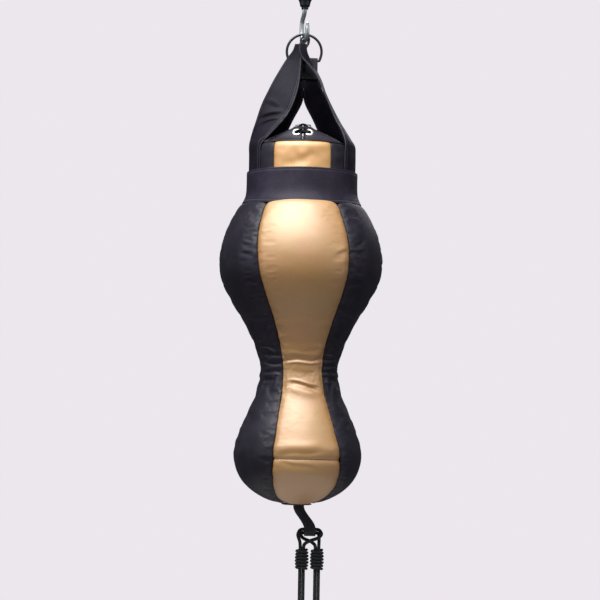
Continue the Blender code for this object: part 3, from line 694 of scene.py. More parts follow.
FINISHES = {
    "black leather": (black_leather,),
    # The straps are the black leather painted 0.8 as bright, as painted shade, with their stitch
    # rows.
    "strap leather": (black_leather, (4.5 * MM, 55.5 * MM), 0.8, 0.12),
    # The band is the black leather painted 1.6 times paler, as painted light, with its stitch
    # rows.
    "band leather": (black_leather, (5 * MM, 61 * MM), 1.6, 0.22),
    # The straps' rolled edges and the mouth's piping are the black leather painted 1.2 times
    # paler, a painted highlight.
    "edge leather": (black_leather, (), 1.2, 0.45),
    "lining": (black_leather, (), 1.0, 0.15),
    "gold leather": (gold_leather,),
    # The collar's gold is the gold leather painted 1.35 times paler, as painted light.
    "gold leather, collar": (gold_leather, None, 1.35),
    "gold leather, seam above": (gold_leather, 3.0 * MM),
    "webbing": (woven,),
    "wide webbing": (woven, 3.4 * MM, (5 * MM, 50 * MM)),
    "tail webbing": (woven, 3.2 * MM, (3 * MM, 19 * MM)),
    "lace": (braided, 10, 6.0 * MM),
    "cord": (braided, 16, 7.0 * MM, 0.5),
    "binding cord": (braided, 14, 6.0 * MM, 0.25),
    "zinc": (metal, 0.24, 0.08, 0.15),
    "dark steel": (metal, 0.30, 0.08, 0.1),
    "nickel": (metal, 0.26, 0.05, 0.35),
}
KNOWN = {}


def finish_named(name):
    """Each finish is made once, when a piece first asks for it."""
    if name not in KNOWN:
        maker, *values = FINISHES[name]
        KNOWN[name] = maker(name, *values)
    return KNOWN[name]


# Surfaces of the bag

OUTLINE = spline([(radius, 0, z) for z, radius in BODY], 400)
OUTLINE_LENGTH = run_of(OUTLINE)[-1]


def outline_share(z):
    """How far along the body's outline the height z comes, from 0 to 1."""
    for k, (upper, lower) in enumerate(zip(OUTLINE, OUTLINE[1:])):
        if lower.z <= z:
            return (k + (upper.z - z) / max(upper.z - lower.z, 1e-9)) / (len(OUTLINE) - 1)
    return 1.0


def outline_at(share):
    """Radius, height and outward direction (radial, vertical) of the body's outline."""
    spot = along(OUTLINE, share)
    line = along(OUTLINE, share + 0.004) - along(OUTLINE, share - 0.004)
    out = Vector((-line.z, line.x)).normalized()
    return spot.x, spot.z, out


TOP_SHARE = outline_share(BODY_TOP_Z)


def seam_azimuth(number, z):
    """Azimuth of one of the body's six seams, counted from the front panel's left one."""
    share = min(max((-0.480 - z) / 0.510, 0.0), 1.15)
    half = between(GOLD_HALF, z)
    return 10.0 * share + (-half, half, 90, 180 - half, 180 + half, 270, 360 - half)[number]


def crease_depth(creases, azimuth, z, radius):
    """How far the folds of a list press the leather in at one spot."""
    depth = 0.0
    for height, middle, slope, reach, above, below, deep in creases:
        x = radius * math.radians((azimuth - middle + 180) % 360 - 180)
        if abs(x) > reach * MM * 1.6:
            continue
        q = z - height + slope * x + 1.2 * MM * math.sin(x / (9 * MM) + height * 900)
        width = (above if q > 0 else below) * MM
        if abs(q) > 4 * width:
            continue
        fade = math.exp(-(x / (reach * MM)) ** 4)
        depth += deep * MM * fade * (math.exp(-(q / width) ** 2)
                                     - 0.45 * math.exp(-((abs(q) - 1.9 * width) / width) ** 2))
    return depth


def sector(first, last, share, u):
    """Azimuth of a spot between two seams, and the width from seam to seam in degrees."""
    radius, z, _ = outline_at(share)
    shift = math.degrees(0.35 * MM / radius)
    start = seam_azimuth(first, z) + shift
    sweep = seam_azimuth(last, z) - shift - start
    return start + sweep * u, sweep


def evened(rows, reach):
    """Each value less the mean of its neighbours within reach, both ways."""
    def mean(line):
        made = []
        for k in range(len(line)):
            part = line[max(k - reach, 0):k + reach + 1]
            made.append(sum(part) / len(part))
        return made

    smooth = [mean(row) for row in rows]
    smooth = list(zip(*[mean(line) for line in zip(*smooth)]))
    return [[a - b for a, b in zip(row, soft)] for row, soft in zip(rows, smooth)]


# Leather cut 1.8 to 4 % too large, pinned where it is sewn and blown out gently
CLOTH = {
    "use_pressure": True, "uniform_pressure_force": 3.0, "vertex_group_mass": "sewn",
    "vertex_group_shrink": "slack", "shrink_min": -0.018, "shrink_max": -0.040, "quality": 6,
    "mass": 0.3, "tension_stiffness": 25, "compression_stiffness": 25, "shear_stiffness": 10,
    "bending_stiffness": 1.0,
}
CLOTH_FRAMES = 20


def swell(first, last, columns=26, rows=150):
    """Cloth simulation of one panel: it is cut a little large, sewn at its edges and pressed
    out from inside. Gives the height of the gathers that it takes, bottom row first."""
    seam = outline_share(CROSS_SEAM_Z)

    def place_at(u, v):
        share = 1.0 + (TOP_SHARE - 1.0) * v
        radius, z, out = outline_at(share)
        lift = -2.5 * MM * math.exp(-min(u, 1 - u) / 0.06)
        return around(radius + lift * out.x, sector(first, last, share, u)[0],
                      z + lift * out.y)

    item = object_of("panel", sheet(columns, rows, place_at))
    sewn = item.vertex_groups.new(name="sewn")
    slack = item.vertex_groups.new(name="slack")
    step = (1.0 - TOP_SHARE) / rows
    starts = []
    for n, vert in enumerate(item.data.vertices):
        row, column = divmod(n, columns + 1)
        share = 1.0 - step * row
        starts.append((vert.co.copy(), share))
        held = column in (0, columns) or row in (0, rows)
        if held or (first in GOLD_PANELS and abs(share - seam) < 0.5 * step):
            sewn.add([n], 1.0, "REPLACE")
        slack.add([n], math.exp(-((vert.co.z + 0.795) / 0.060) ** 2), "REPLACE")
    cloth = item.modifiers.new("Cloth", "CLOTH")
    cloth.collision_settings.use_collision = False
    for name, value in CLOTH.items():
        setattr(cloth.settings, name, value)
    cloth.settings.effector_weights.gravity = 0
    for moment in range(1, CLOTH_FRAMES + 1):
        bpy.context.scene.frame_set(moment)
    final = item.evaluated_get(bpy.context.evaluated_depsgraph_get()).to_mesh()
    heights = []
    for (start, share), vert in zip(starts, final.vertices):
        out = outline_at(share)[2]
        azimuth = math.degrees(math.atan2(start.x, -start.y))
        heights.append((vert.co - start).dot(around(out.x, azimuth, out.y)))
    bpy.data.objects.remove(item, do_unlink=True)
    bpy.context.scene.frame_set(1)
    grid = [heights[n:n + columns + 1] for n in range(0, len(heights), columns + 1)]
    return evened(grid, 4)


def cubic(values, place):
    """A smooth curve through evenly spaced values, at place from 0 to 1."""
    place = min(max(place, 0.0), 1.0) * (len(values) - 1)
    k = min(int(place), len(values) - 2)
    return catmull(values[max(k - 1, 0)], values[k], values[k + 1],
                   values[min(k + 2, len(values) - 1)], place - k)


def gathers(grid, u, v, limit):
    """Height of the simulated gathers at one spot, never more than limit either way."""
    if grid is None:
        return 0.0
    place = min(max(v, 0.0), 1.0) * (len(grid) - 1)
    k = min(int(place), len(grid) - 2)
    lines = [grid[min(max(k + n, 0), len(grid) - 1)] for n in (-1, 0, 1, 2)]
    height = catmull(*[cubic(line, u) for line in lines], place - k)
    return limit * math.tanh(height / limit)


def leather_at(first, last, share, u, creases, crown, cloth):
    """A spot of the leather between two seams, u from 0 to 1 across."""
    radius, z, out = outline_at(share)
    azimuth, sweep = sector(first, last, share, u)
    wide = math.radians(sweep) * radius
    near = min(u, 1 - u) * wide
    side = first if u < 0.5 else last
    deep = sizes().groove * (0.42 if side in SIDE_SEAMS else 1.0)
    lift = crown * MM * (1 - (2 * u - 1) ** 2) - deep * math.exp(-(near / (6.5 * MM)) ** 1.4)
    waist = math.exp(-((z + 0.805) / 0.055) ** 2) + 0.6 * math.exp(-((z + 0.59) / 0.03) ** 2)
    waist += 0.5 * math.exp(-((z + 0.99) / 0.02) ** 2)
    gather = ripple(z * 95, side * 3.7, near * 22, 4.0) + 0.4 * ripple(z * 210, side, 0.0, 9.0)
    lift += sizes().pucker * gather * math.exp(-near / (16 * MM)) * (0.45 + 1.5 * waist)
    spot = around(radius, azimuth, z)
    lift += sizes().unevenness * ripple(spot.x * 9, spot.y * 9, spot.z * 9, 2.0)
    lift += 0.28 * MM * ripple(spot.x * 34, spot.y * 34, spot.z * 34, 7.0)
    lift -= sizes().creases * crease_depth(creases, azimuth, z, radius)
    limit = sizes().gathers * (1 - 0.6 * smooth_step(-0.845, -0.885, z))
    if first in GOLD_PANELS:
        limit *= 0.10 + 0.35 * math.exp(-near / (9 * MM))
    lift += gathers(cloth, u, (1.0 - share) / (1.0 - TOP_SHARE), limit)
    return around(radius + lift * out.x, azimuth, z + lift * out.y)


def panel(first, last, top, bottom, rows, columns, creases, cloth, crown=1.0, pinch=None):
    """A leather panel from outline share top to bottom, with a pinched cross seam."""
    middle = outline_at((top + bottom) / 2)[0]
    long = OUTLINE_LENGTH * (bottom - top)
    wide = math.radians(seam_azimuth(last, -0.7) - seam_azimuth(first, -0.7)) * middle

    def place_at(u, v):
        share = bottom + (top - bottom) * v
        spot = leather_at(first, last, share, u, creases, crown, cloth)
        if pinch is not None:
            away = abs(share - pinch) * OUTLINE_LENGTH
            out = outline_at(share)[2]
            azimuth = math.degrees(math.atan2(spot.x, -spot.y))
            press = 1.8 * MM * math.exp(-(away / (4 * MM)) ** 1.3)
            if share < pinch:
                press += 1.8 * MM * math.exp(-(away / (11 * MM)) ** 1.6)
                press -= 1.8 * MM * math.exp(-((away - 20 * MM) / (11 * MM)) ** 2)
            else:
                press += 1.8 * MM * math.exp(-away / (16 * MM))
            spot -= (around(1.0, azimuth, 0) * out.x + Vector((0, 0, out.y))) * press
        return spot

    return sheet(columns, rows, place_at, (wide, long))


def wall(first, last, table, rows, columns, dent):
    """Part of the collar between two azimuths; dent(azimuth, z) presses it in."""
    line = spline([(radius, 0, z) for z, radius in reversed(table)], rows + 1)

    def place_at(u, v):
        spot = along(line, 1 - v)
        shift = math.degrees(0.3 * MM / spot.x)
        azimuth = first + shift + (last - first - 2 * shift) * u
        near = min(u, 1 - u) * math.radians(last - first) * spot.x
        deep = 1.6 * MM * math.exp(-(near / (5 * MM)) ** 1.4) + dent(azimuth, spot.z)
        deep -= 0.7 * MM * ripple(azimuth * 0.11, spot.z * 60, 0.0, 12.0)
        return around(spot.x - deep, azimuth, spot.z)

    return sheet(columns, rows, place_at, (math.radians(last - first) * 0.103, 0.072))


def lid_height(x, y):
    """A tent along the slit: sloping to both sides, steep at the front and back."""
    side = (math.hypot(x, 8 * MM) - 8 * MM) / 0.098
    slope = max(1 - side, 0.0) ** 1.15
    drop = 1 / (1 + (abs(y) / 0.052) ** 8)
    rim = max(1 - (math.hypot(x, y) / LID_RADIUS) ** 8, 0.0)
    return 0.041 * slope * drop * rim


def lid_spot(x, y):
    return Vector((x, y, LID_BASE_Z + lid_height(x, y)))


def lid_normal(x, y):
    step = 0.5 * MM
    right = lid_spot(x + step, y) - lid_spot(x - step, y)
    back = lid_spot(x, y + step) - lid_spot(x, y - step)
    return right.cross(back).normalized()


# Straps: their two edges, from the band up to the neck
LEFT_INNER = millimetres([(-82.5, -63, -369), (-67, -56, -350), (-51.5, -50, -332),
                          (-31.5, -38, -306), (-19, -34, -279), (-10, -27, -245),
                          (-7, -21, -212), (-6, -17.5, -188), (-4.6, -15.6, -172),
                          (-4, -15.2, -158)])
LEFT_OUTER = millimetres([(-105.5, -8, -366), (-100.5, -8, -340), (-94.5, -8.5, -318),
                          (-86.5, -9, -292), (-77, -10, -268), (-63, -9, -238),
                          (-47, -7.5, -209), (-34, -8.5, -188), (-22, -11.5, -172),
                          (-17, -13.5, -158)])
RIGHT_FRONT = millimetres([(84.5, -63, -362), (75.2, -54, -334), (64.7, -47, -315),
                           (50, -39, -279), (30, -28, -231), (11, -24.5, -204),
                           (-3, -22.5, -188), (-9, -21.8, -174), (-9, -21.5, -158)])
RIGHT_BACK = millimetres([(101, -7, -362), (84, 3, -334), (72, 6, -313), (52, 5, -277),
                          (35, -3, -231), (20, -7.5, -204), (11, -11.5, -188),
                          (5, -16, -174), (3, -17.5, -158)])
REAR_NEAR = millimetres([(58.5, 85, -368), (36.5, 62, -333), (20.5, 44, -302),
                         (2.6, 24, -269), (1.2, 9, -242), (0.4, 8.5, -212)])
REAR_FAR = millimetres([(95.2, 39.5, -364), (81, 34, -332), (68, 26, -302), (49, 15, -268),
                        (35, 8.6, -242), (28, 8.5, -212)])
# Folds across the left front strap: share up the strap, share across, slope, depth
STRAP_FOLDS = [(0.490, 0.52, 0.10, 5.2), (0.435, 0.60, 0.13, 4.2), (0.560, 0.45, -0.05, 1.2)]


def strap_foot(azimuth, sign):
    return [around(STRAP_RADIUS, sign * azimuth, z) for z in (-0.434, -0.412, -0.390)]


def strap(first, second, folds=(), rows=110, columns=18):
    """A strap between two edge lines: cupped outwards, with thinner stitched margins."""
    left = spline(first, rows + 1)
    right = spline(second, rows + 1)

    def place_at(u, v):
        a = along(left, v)
        b = along(right, v)
        middle = (a + b) / 2
        out = Vector((middle.x, middle.y, 0)).normalized()
        width = min(max(2 * (b - a).length / STRAP_WIDTH - 1, 0.0), 1.0)
        spot = a.lerp(b, u) + out * (4.5 * MM * width * 4 * u * (1 - u))
        hug = smooth_step(-0.352, -0.372, spot.z) if spot.z < -0.352 else 0.0
        flat = Vector((spot.x, spot.y, 0))
        if hug and flat.length < STRAP_RADIUS + 0.6 * MM:
            spot += flat.normalized() * (STRAP_RADIUS + 0.6 * MM - flat.length) * hug
        lift = 0.6 * MM * math.exp(-((min(u, 1 - u) * 60 - 10) / 7) ** 2) * width
        lift += 0.9 * MM * ripple(spot.x * 26, spot.y * 26, spot.z * 20, 3.0) * width
        for height, place, slope, deep in folds:
            q = (v - height - slope * (u - place) + 0.16 * (u - place) ** 2) / 0.017
            fade = math.exp(-((u - place) / 0.30) ** 4)
            lift += deep * MM * fade * (math.exp(-(q * q)) - 0.7 * math.exp(-(q + 1.5) ** 2))
        return spot + out * lift

    return sheet(columns, rows, place_at, (STRAP_WIDTH, 0.29)), left, right


# Buttons, one for each piece or group of like pieces

class BAG_OT_stage(bpy.types.Operator):
    """Camera at the photograph's angle, a pale floor and soft studio lights"""
    bl_idname = "bag.stage"
    bl_label = "Stage"

    def execute(self, context):
        stage = context.scene.bag_stage
        camera = bpy.data.cameras.new("camera")
        camera.lens = stage.lens
        camera.sensor_width = 36.0
        seen = bpy.data.objects.new("camera", camera)
        seen.matrix_world = (Matrix.Translation((0.0, -stage.distance, stage.height))
                             @ Matrix.Rotation(math.pi / 2 + stage.tilt, 4, "X")
                             @ Matrix.Rotation(stage.roll, 4, "Z"))
        context.scene.collection.objects.link(seen)
        context.scene.camera = seen

        shape = bmesh.new()
        bmesh.ops.create_circle(shape, cap_ends=True, segments=96, radius=FLOOR_RADIUS)
        bmesh.ops.inset_region(shape, faces=shape.faces, thickness=0.02)
        bmesh.ops.translate(shape, vec=(0, 0, FLOOR_Z), verts=shape.verts)
        floor = object_of("floor", shape)
        floor.data.materials.append(plain_floor("floor", tuple(stage.floor)))

        world = bpy.data.worlds.new("studio")
        world.use_nodes = True
        tree = world.node_tree
        seen_sky = tree.nodes["Background"]
        seen_sky.inputs["Color"].default_value = (*stage.backdrop, 1)
        lighting = tree.nodes.new("ShaderNodeBackground")
        lighting.inputs["Color"].default_value = (0.92, 0.92, 0.92, 1)
        lighting.inputs["Strength"].default_value = stage.ambient
        share = tree.nodes.new("ShaderNodeMixShader")
        rays = tree.nodes.new("ShaderNodeLightPath")
        tree.links.new(rays.outputs["Is Camera Ray"], share.inputs[0])
        tree.links.new(lighting.outputs[0], share.inputs[1])
        tree.links.new(seen_sky.outputs[0], share.inputs[2])
        tree.links.new(share.outputs[0], tree.nodes["World Output"].inputs["Surface"])
        context.scene.world = world
        context.scene.view_settings.view_transform = "Standard"

        target = Vector((0, 0, -0.70))
        rig = [("key", (-0.60, -1.60, 2.20), 3.6, 2.3, stage.key),
               ("left side", (-2.2, -1.2, -0.2), 0.7, 1.8, stage.fill),
               ("right side", (2.2, -1.2, -0.2), 0.7, 1.8, stage.fill),
               ("back", (0.5, 2.3, 0.9), 2.4, 1.4, stage.rear)]
        for name, place, wide, high, watts in rig:
            lamp = bpy.data.lights.new(name, "AREA")
            lamp.shape = "RECTANGLE"
            lamp.size = wide
            lamp.size_y = high
            lamp.energy = watts
            item = bpy.data.objects.new(name, lamp)
            item.location = place
            item.rotation_mode = "QUATERNION"
            item.rotation_quaternion = (target - Vector(place)).to_track_quat("-Z", "Y")
            context.scene.collection.objects.link(item)
        return {"FINISHED"}


# Each cord above its binding, by the same points as the frame's cords, in millimetres
LEFT_CORD = [(-18.4, 0, -1160), (-19.6, -0.7, -1150), (-23.3, -1.5, -1138.5),
             (-20.5, -0.5, -1130), (-14.5, 0, -1126.9), (0, 0, -1126.7), (14.5, 0, -1126.9),
             (20.5, -0.8, -1129.8), (23.0, -4.5, -1137), (15.0, -8.6, -1143.8),
             (4, -7.8, -1147.8), (-5, -4.8, -1152), (-10.2, -1.2, -1156.4),
             (-11.6, 0, -1162), (-11.6, 0, -1170)]
RIGHT_CORD = [(18.4, 0, -1161), (18.6, 0.6, -1152), (18.6, 1.2, -1144),
              (17.8, 0.8, -1137.4), (14.5, 0, -1133.9), (0, 0, -1133.7), (-14.5, 0, -1133.9),
              (-17.4, 2.6, -1137), (-15, 6.6, -1142.5), (-8, 8.4, -1147), (0, 7.8, -1149.8),
              (5.5, 5.0, -1153), (10, 1.6, -1157), (11.6, 0, -1162), (11.6, 0, -1170)]


def floor_end(side, sign):
    """Crimped ferrule and the open hook it carries, at the foot of one pair of strands."""
    centre = Vector((TAIL_X + sign * LEG_OFFSET, 0, 0))
    top = FERRULE_TOP_Z
    low = top - 22 * MM
    outer = 9.6 * MM
    profile = [(0.0, top - 13 * MM), (7.1 * MM, top - 13 * MM), (7.1 * MM, top - 0.6 * MM),
               (7.7 * MM, top), (8.8 * MM, top), (outer, top - 1.0 * MM)]
    for ridge in (5.0, 10.0):
        level = top - ridge * MM
        profile += [(outer, level + 1.8 * MM), (outer - 0.9 * MM, level + 0.9 * MM),
                    (outer - 0.9 * MM, level - 0.9 * MM), (outer, level - 1.8 * MM)]
    profile += [(outer, low + 5 * MM), (outer - 0.5 * MM, low + 3.2 * MM),
                (7.0 * MM, low + 0.9 * MM), (5.4 * MM, low), (0.0, low)]
    shape = turned(profile, 48, Matrix.Translation(centre))
    ferrule = piece("crimped_ferrule_" + side, shape, finish_named("zinc"), "floor_hooks",
                    ("ferrule_" + side,))
    line = [centre + Vector((0, 0, low - 0.3 * MM)), centre + Vector((0, 0, low - 8 * MM))]
    for degree in range(130, -171, -25):
        angle = math.radians(degree)
        line.append(centre + Vector((9 * MM * math.cos(angle) * sign, 0,
                                     low - 20 * MM + 9 * MM * math.sin(angle))))
    taper = lambda t: 2.2 * MM * (1.0 - 0.35 * smooth_step(0.93, 1.0, t))
    hook = piece("open_floor_hook_" + side, bar(spline(line, 64), taper, 16),
                 finish_named("zinc"), "floor_hooks", ("floor_hook_" + side,))
    return ferrule, hook


class BAG_OT_cords(bpy.types.Operator):
    """Both doubled elastic cords with their bindings, ferrules and floor hooks"""
    bl_idname = "bag.cords"
    bl_label = "Elastic cords"

    def execute(self, context):
        for side, sign, over in (("left", -1, LEFT_CORD), ("right", 1, RIGHT_CORD)):
            ends = floor_end(side, sign)
            binding = self.binding(side, sign)
            outside = sign * (LEG_OFFSET + STRAND_OFFSET) / MM
            inside = sign * (LEG_OFFSET - STRAND_OFFSET) / MM
            foot = FERRULE_TOP_Z / MM - 12
            up = [(outside, 0, z) for z in (foot, -1255, -1215, -1180)]
            down = [(inside, 0, z) for z in (-1180, -1215, -1255, foot)]
            line = [point + Vector((TAIL_X, 0, 0)) for point in millimetres(up + over + down)]
            path = spline(line, 240)
            shape = bar(path, sizes().cord / 2, 14)
            cord = piece("elastic_cord_" + side, shape, finish_named("cord"), None,
                         ("spring_cord_" + side,))
            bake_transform(cord)
            round(run_of(path)[-1], 3)
        return {"FINISHED"}

    def binding(self, side, sign):
        """Six turns of cord round both strands, a little uneven as they are wound by hand."""
        reach = 6.6 * MM
        centre = TAIL_X + sign * LEG_OFFSET
        line = []
        count = BINDING_TURNS * POINTS_PER_TURN
        for n in range(count + 1):
            turn = 2 * math.pi * n / POINTS_PER_TURN
            ends = STRAND_OFFSET * max(-1.0, min(1.0, 1.6 * math.cos(turn)))
            loose = 0.35 * MM * (1 + 2.2 * ripple(n * 0.11, sign, 0.0))
            loose += 0.9 * MM * math.sin(math.pi * n / count) ** 2
            line.append(Vector((centre + ends + (reach + loose) * math.cos(turn),
                                (reach + loose) * math.sin(turn),
                                BINDING_TOP_Z - BINDING_PITCH * n / POINTS_PER_TURN)))
        blunt = lambda t: 2.7 * MM * (0.6 + 0.4 * smooth_step(0, 0.012, min(t, 1 - t)))
        return piece("binding_" + side, bar(line, blunt, 12), finish_named("binding cord"),
                     "cords", ("whipping_" + side,))


class BAG_OT_swivel(bpy.types.Operator):
    """Ceiling eye and the swivel's turned housing"""
    bl_idname = "bag.swivel"
    bl_label = "Ceiling swivel"

    def execute(self, context):
        stem = [Vector((0, 0, z)) for z in (-0.0415, -0.034, -0.026)]
        stem.append(Vector((0.0012, 0, -0.0195)))
        for degree in range(-62, 245, 14):
            angle = math.radians(degree)
            stem.append(Vector((14 * MM * math.cos(angle), 0, 14 * MM * math.sin(angle))))
        piece("ceiling_eye", bar(spline(stem, 150), 4.0 * MM, 24), finish_named("zinc"),
              "ceiling_swivel", ("top_eye",))
        outer = [(4.7, -25.0), (14.6, -25.0), (16.2, -25.8), (17.0, -27.4), (17.2, -29.0),
                 (17.2, -31.0), (16.4, -31.6), (16.4, -32.4), (17.2, -33.0), (17.2, -54.0),
                 (16.9, -56.5), (15.9, -59.8), (14.2, -63.8), (12.6, -67.2), (11.5, -70.0),
                 (10.8, -72.8), (10.4, -75.2), (10.0, -77.2), (9.2, -78.8), (8.2, -79.6),
                 (7.4, -79.9), (7.0, -80.5), (7.0, -84.2), (6.7, -84.5), (5.2, -84.5),
                 (5.2, -58.3), (13.5, -58.3), (13.5, -32.5), (4.7, -32.5)]
        shape = turned([(r * MM, z * MM) for r, z in outer], 72, closed=True)
        item = piece("swivel_body", shape, finish_named("dark steel"), "ceiling_swivel",
                     ("swivel_housing",))
        soft = item.modifiers.new("Soft edges", "BEVEL")
        soft.width = 0.25 * MM
        soft.segments = 2
        for name in ("eye_nut", "upper_race", "lower_race", "ball_cage", "hook_nut"):
            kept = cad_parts[name]
            kept.data.materials.clear()
            kept.data.materials.append(finish_named("zinc"))
        return {"FINISHED"}


def hook_spot(u, z, v=0.0):
    """A point in the hook's plane: u towards the tip, v to its right."""
    return Vector((u * math.sin(HOOK_TURN) + v * math.cos(HOOK_TURN),
                   -u * math.cos(HOOK_TURN) + v * math.sin(HOOK_TURN), z))


class BAG_OT_hook(bpy.types.Operator):
    """Bright bent hook: shank, swan neck, round bend and a tapered tip"""
    bl_idname = "bag.hook"
    bl_label = "Hook"

    def execute(self, context):
        line = [hook_spot(0, -0.0440), hook_spot(0, -0.0620), hook_spot(0, -0.0800),
                hook_spot(-1.5 * MM, -0.0890), hook_spot(-7 * MM, -0.0960),
                hook_spot(-14.5 * MM, -0.1020), hook_spot(-19 * MM, -0.1100),
                hook_spot(-20.3 * MM, -0.1200)]
        for degree in range(180, 361, 20):
            angle = math.radians(degree)
            line.append(hook_spot(HOOK_BEND * math.cos(angle),
                                  HOOK_BEND_Z + HOOK_BEND * math.sin(angle)))
        line += [hook_spot(20.6 * MM, -0.1220), hook_spot(21.8 * MM, -0.1135)]

        def thick(t):
            tip = 1 - 0.30 * smooth_step(0.90, 0.985, t) - 0.45 * smooth_step(0.985, 1.0, t)
            return 4.5 * MM * tip * (1 - 0.25 * smooth_step(0.006, 0.0, t))

        piece("bent_hook", bar(spline(line, 170), thick, 28), finish_named("zinc"), "hook",
              ("hook",))
        return {"FINISHED"}


class BAG_OT_ring(bpy.types.Operator):
    """Dark steel D-ring with its bar through the wide webbing"""
    bl_idname = "bag.ring"
    bl_label = "D-ring"

    def execute(self, context):
        points = []
        for degree in range(-16, 197, 9):
            angle = math.radians(degree)
            points.append(Vector((RING_RADIUS * math.cos(angle), RING_Y,
                                  RING_Z + RING_RADIUS * math.sin(angle))))
        for x, drop in ((-32.2, 4.0), (-30.6, 0.8), (-29.0, 0), (-12, 0), (12, 0), (29.0, 0),
                        (30.6, 0.8), (32.2, 4.0)):
            points.append(Vector((x * MM, RING_Y, RING_BAR_Z + drop * MM)))
        shape = bar(spline(points, 200, cyclic=True), 2.6 * MM, 18, cyclic=True)
        piece("steel_ring", shape, finish_named("dark steel"), "bag", ("d_ring",))
        return {"FINISHED"}


class BAG_OT_loops(bpy.types.Operator):
    """Webbing over the hook's bend, and the wide webbing round the ring's bar"""
    bl_idname = "bag.loops"
    bl_label = "Webbing loops"

    def execute(self, context):
        legs = [(-0.1555, 7.0, 0.1), (-0.1605, 5.1, 0.4), (-0.1655, 3.0, 0.8),
                (-0.171, 1.9, 1.0), (-0.182, 1.9, 1.0), (-0.193, 1.9, 1.0), (-0.204, 1.9, 1.0)]
        lines = []
        for share in (0.0, 0.5, 1.0):
            u = (-2.0 + 12.0 * share) * MM
            bend_z = HOOK_BEND_Z - math.sqrt(HOOK_BEND ** 2 - u * u)
            over = [hook_spot(u, bend_z + 8.3 * MM * math.sin(math.radians(degree)),
                              8.0 * MM * math.cos(math.radians(degree)))
                    for degree in range(0, 181, 22)]
            hang = {1: [], -1: []}
            for z, half, untwist in legs:
                turn = HOOK_TURN * (1 - untwist)
                for side in (1, -1):
                    v = side * half * MM
                    hang[side].append(Vector((u * math.sin(turn) + v * math.cos(turn),
                                              -u * math.cos(turn) + v * math.sin(turn), z)))
            lines.append(spline(hang[1][::-1] + over + hang[-1], 121))

        def hook_loop(u, v):
            return along([along(line, v) for line in lines], u)

        item = piece("hook_webbing", sheet(8, 120, hook_loop, (HOOK_WEBBING, 0.13)),
                     finish_named("webbing"), "bag", ("front_hook_loop",))
        thicken(item, LOOP_THICKNESS, 0.0, 0.5 * MM)
        cut_from(lines[1])

        reach = 4.5 * MM
        line = [(reach, -0.226), (reach, -0.213), (reach, -0.200)]
        for degree in range(0, 181, 22):
            angle = math.radians(degree)
            line.append((reach * math.cos(angle), RING_BAR_Z + reach * math.sin(angle)))
        line += [(-reach, -0.200), (-reach, -0.213), (-reach, -0.226)]
        over = spline([(0, RING_Y + y, z) for y, z in line], 97)

        def ring_loop(u, v):
            spot = along(over, v)
            return spot + Vector(((u - 0.5) * RING_WEBBING,
                                  0.25 * MM * ripple(u * 9, v * 14, 0), 0))

        item = piece("ring_webbing", sheet(22, 96, ring_loop, (RING_WEBBING, 0.09)),
                     finish_named("wide webbing"), "bag", ("rear_ring_loop",))
        thicken(item, LOOP_THICKNESS, 0.0, 0.5 * MM)
        cut_from(over)
        return {"FINISHED"}


class BAG_OT_straps(bpy.types.Operator):
    """Four stitched leather straps with rolled edges"""
    bl_idname = "bag.straps"
    bl_label = "Straps"

    def execute(self, context):
        mirror = Matrix.Diagonal((-1, 1, 1))
        near = strap_foot(145.5, 1) + REAR_NEAR
        far = strap_foot(112.5, 1) + REAR_FAR
        made = [
            ("front_strap_left", strap_foot(86, -1) + LEFT_OUTER, strap_foot(53, -1) + LEFT_INNER,
             STRAP_FOLDS),
            ("front_strap_right", strap_foot(53, 1) + RIGHT_FRONT, strap_foot(86, 1) + RIGHT_BACK,
             ()),
            ("rear_strap_right", far, near, ()),
            ("rear_strap_left", [mirror @ p for p in near], [mirror @ p for p in far], ()),
        ]
        for node, first, second, folds in made:
            shape, left, right = strap(first, second, folds)
            # The straps are painted darker than the body's black leather, as painted shade.
            item = piece("stitched_" + node, shape, finish_named("strap leather"), "bag",
                         (node,))
            thicken(item, 3.0 * MM, 0.0, 0.7 * MM)
            shape = None
            for line in (left, right):
                inset = [a.lerp(b, 0.02) for a, b in
                         zip(line, (right if line is left else left))]
                shape = bar(inset, sizes().edge, 10, shape=shape)
            # The rolled edges are painted paler than the straps, a painted highlight.
            edges = piece("edges_" + node, shape, finish_named("edge leather"), "bag", ())
            middle = [(a + b) / 2 for a, b in zip(left, right)]
            cut_from(middle)
        return {"FINISHED"}


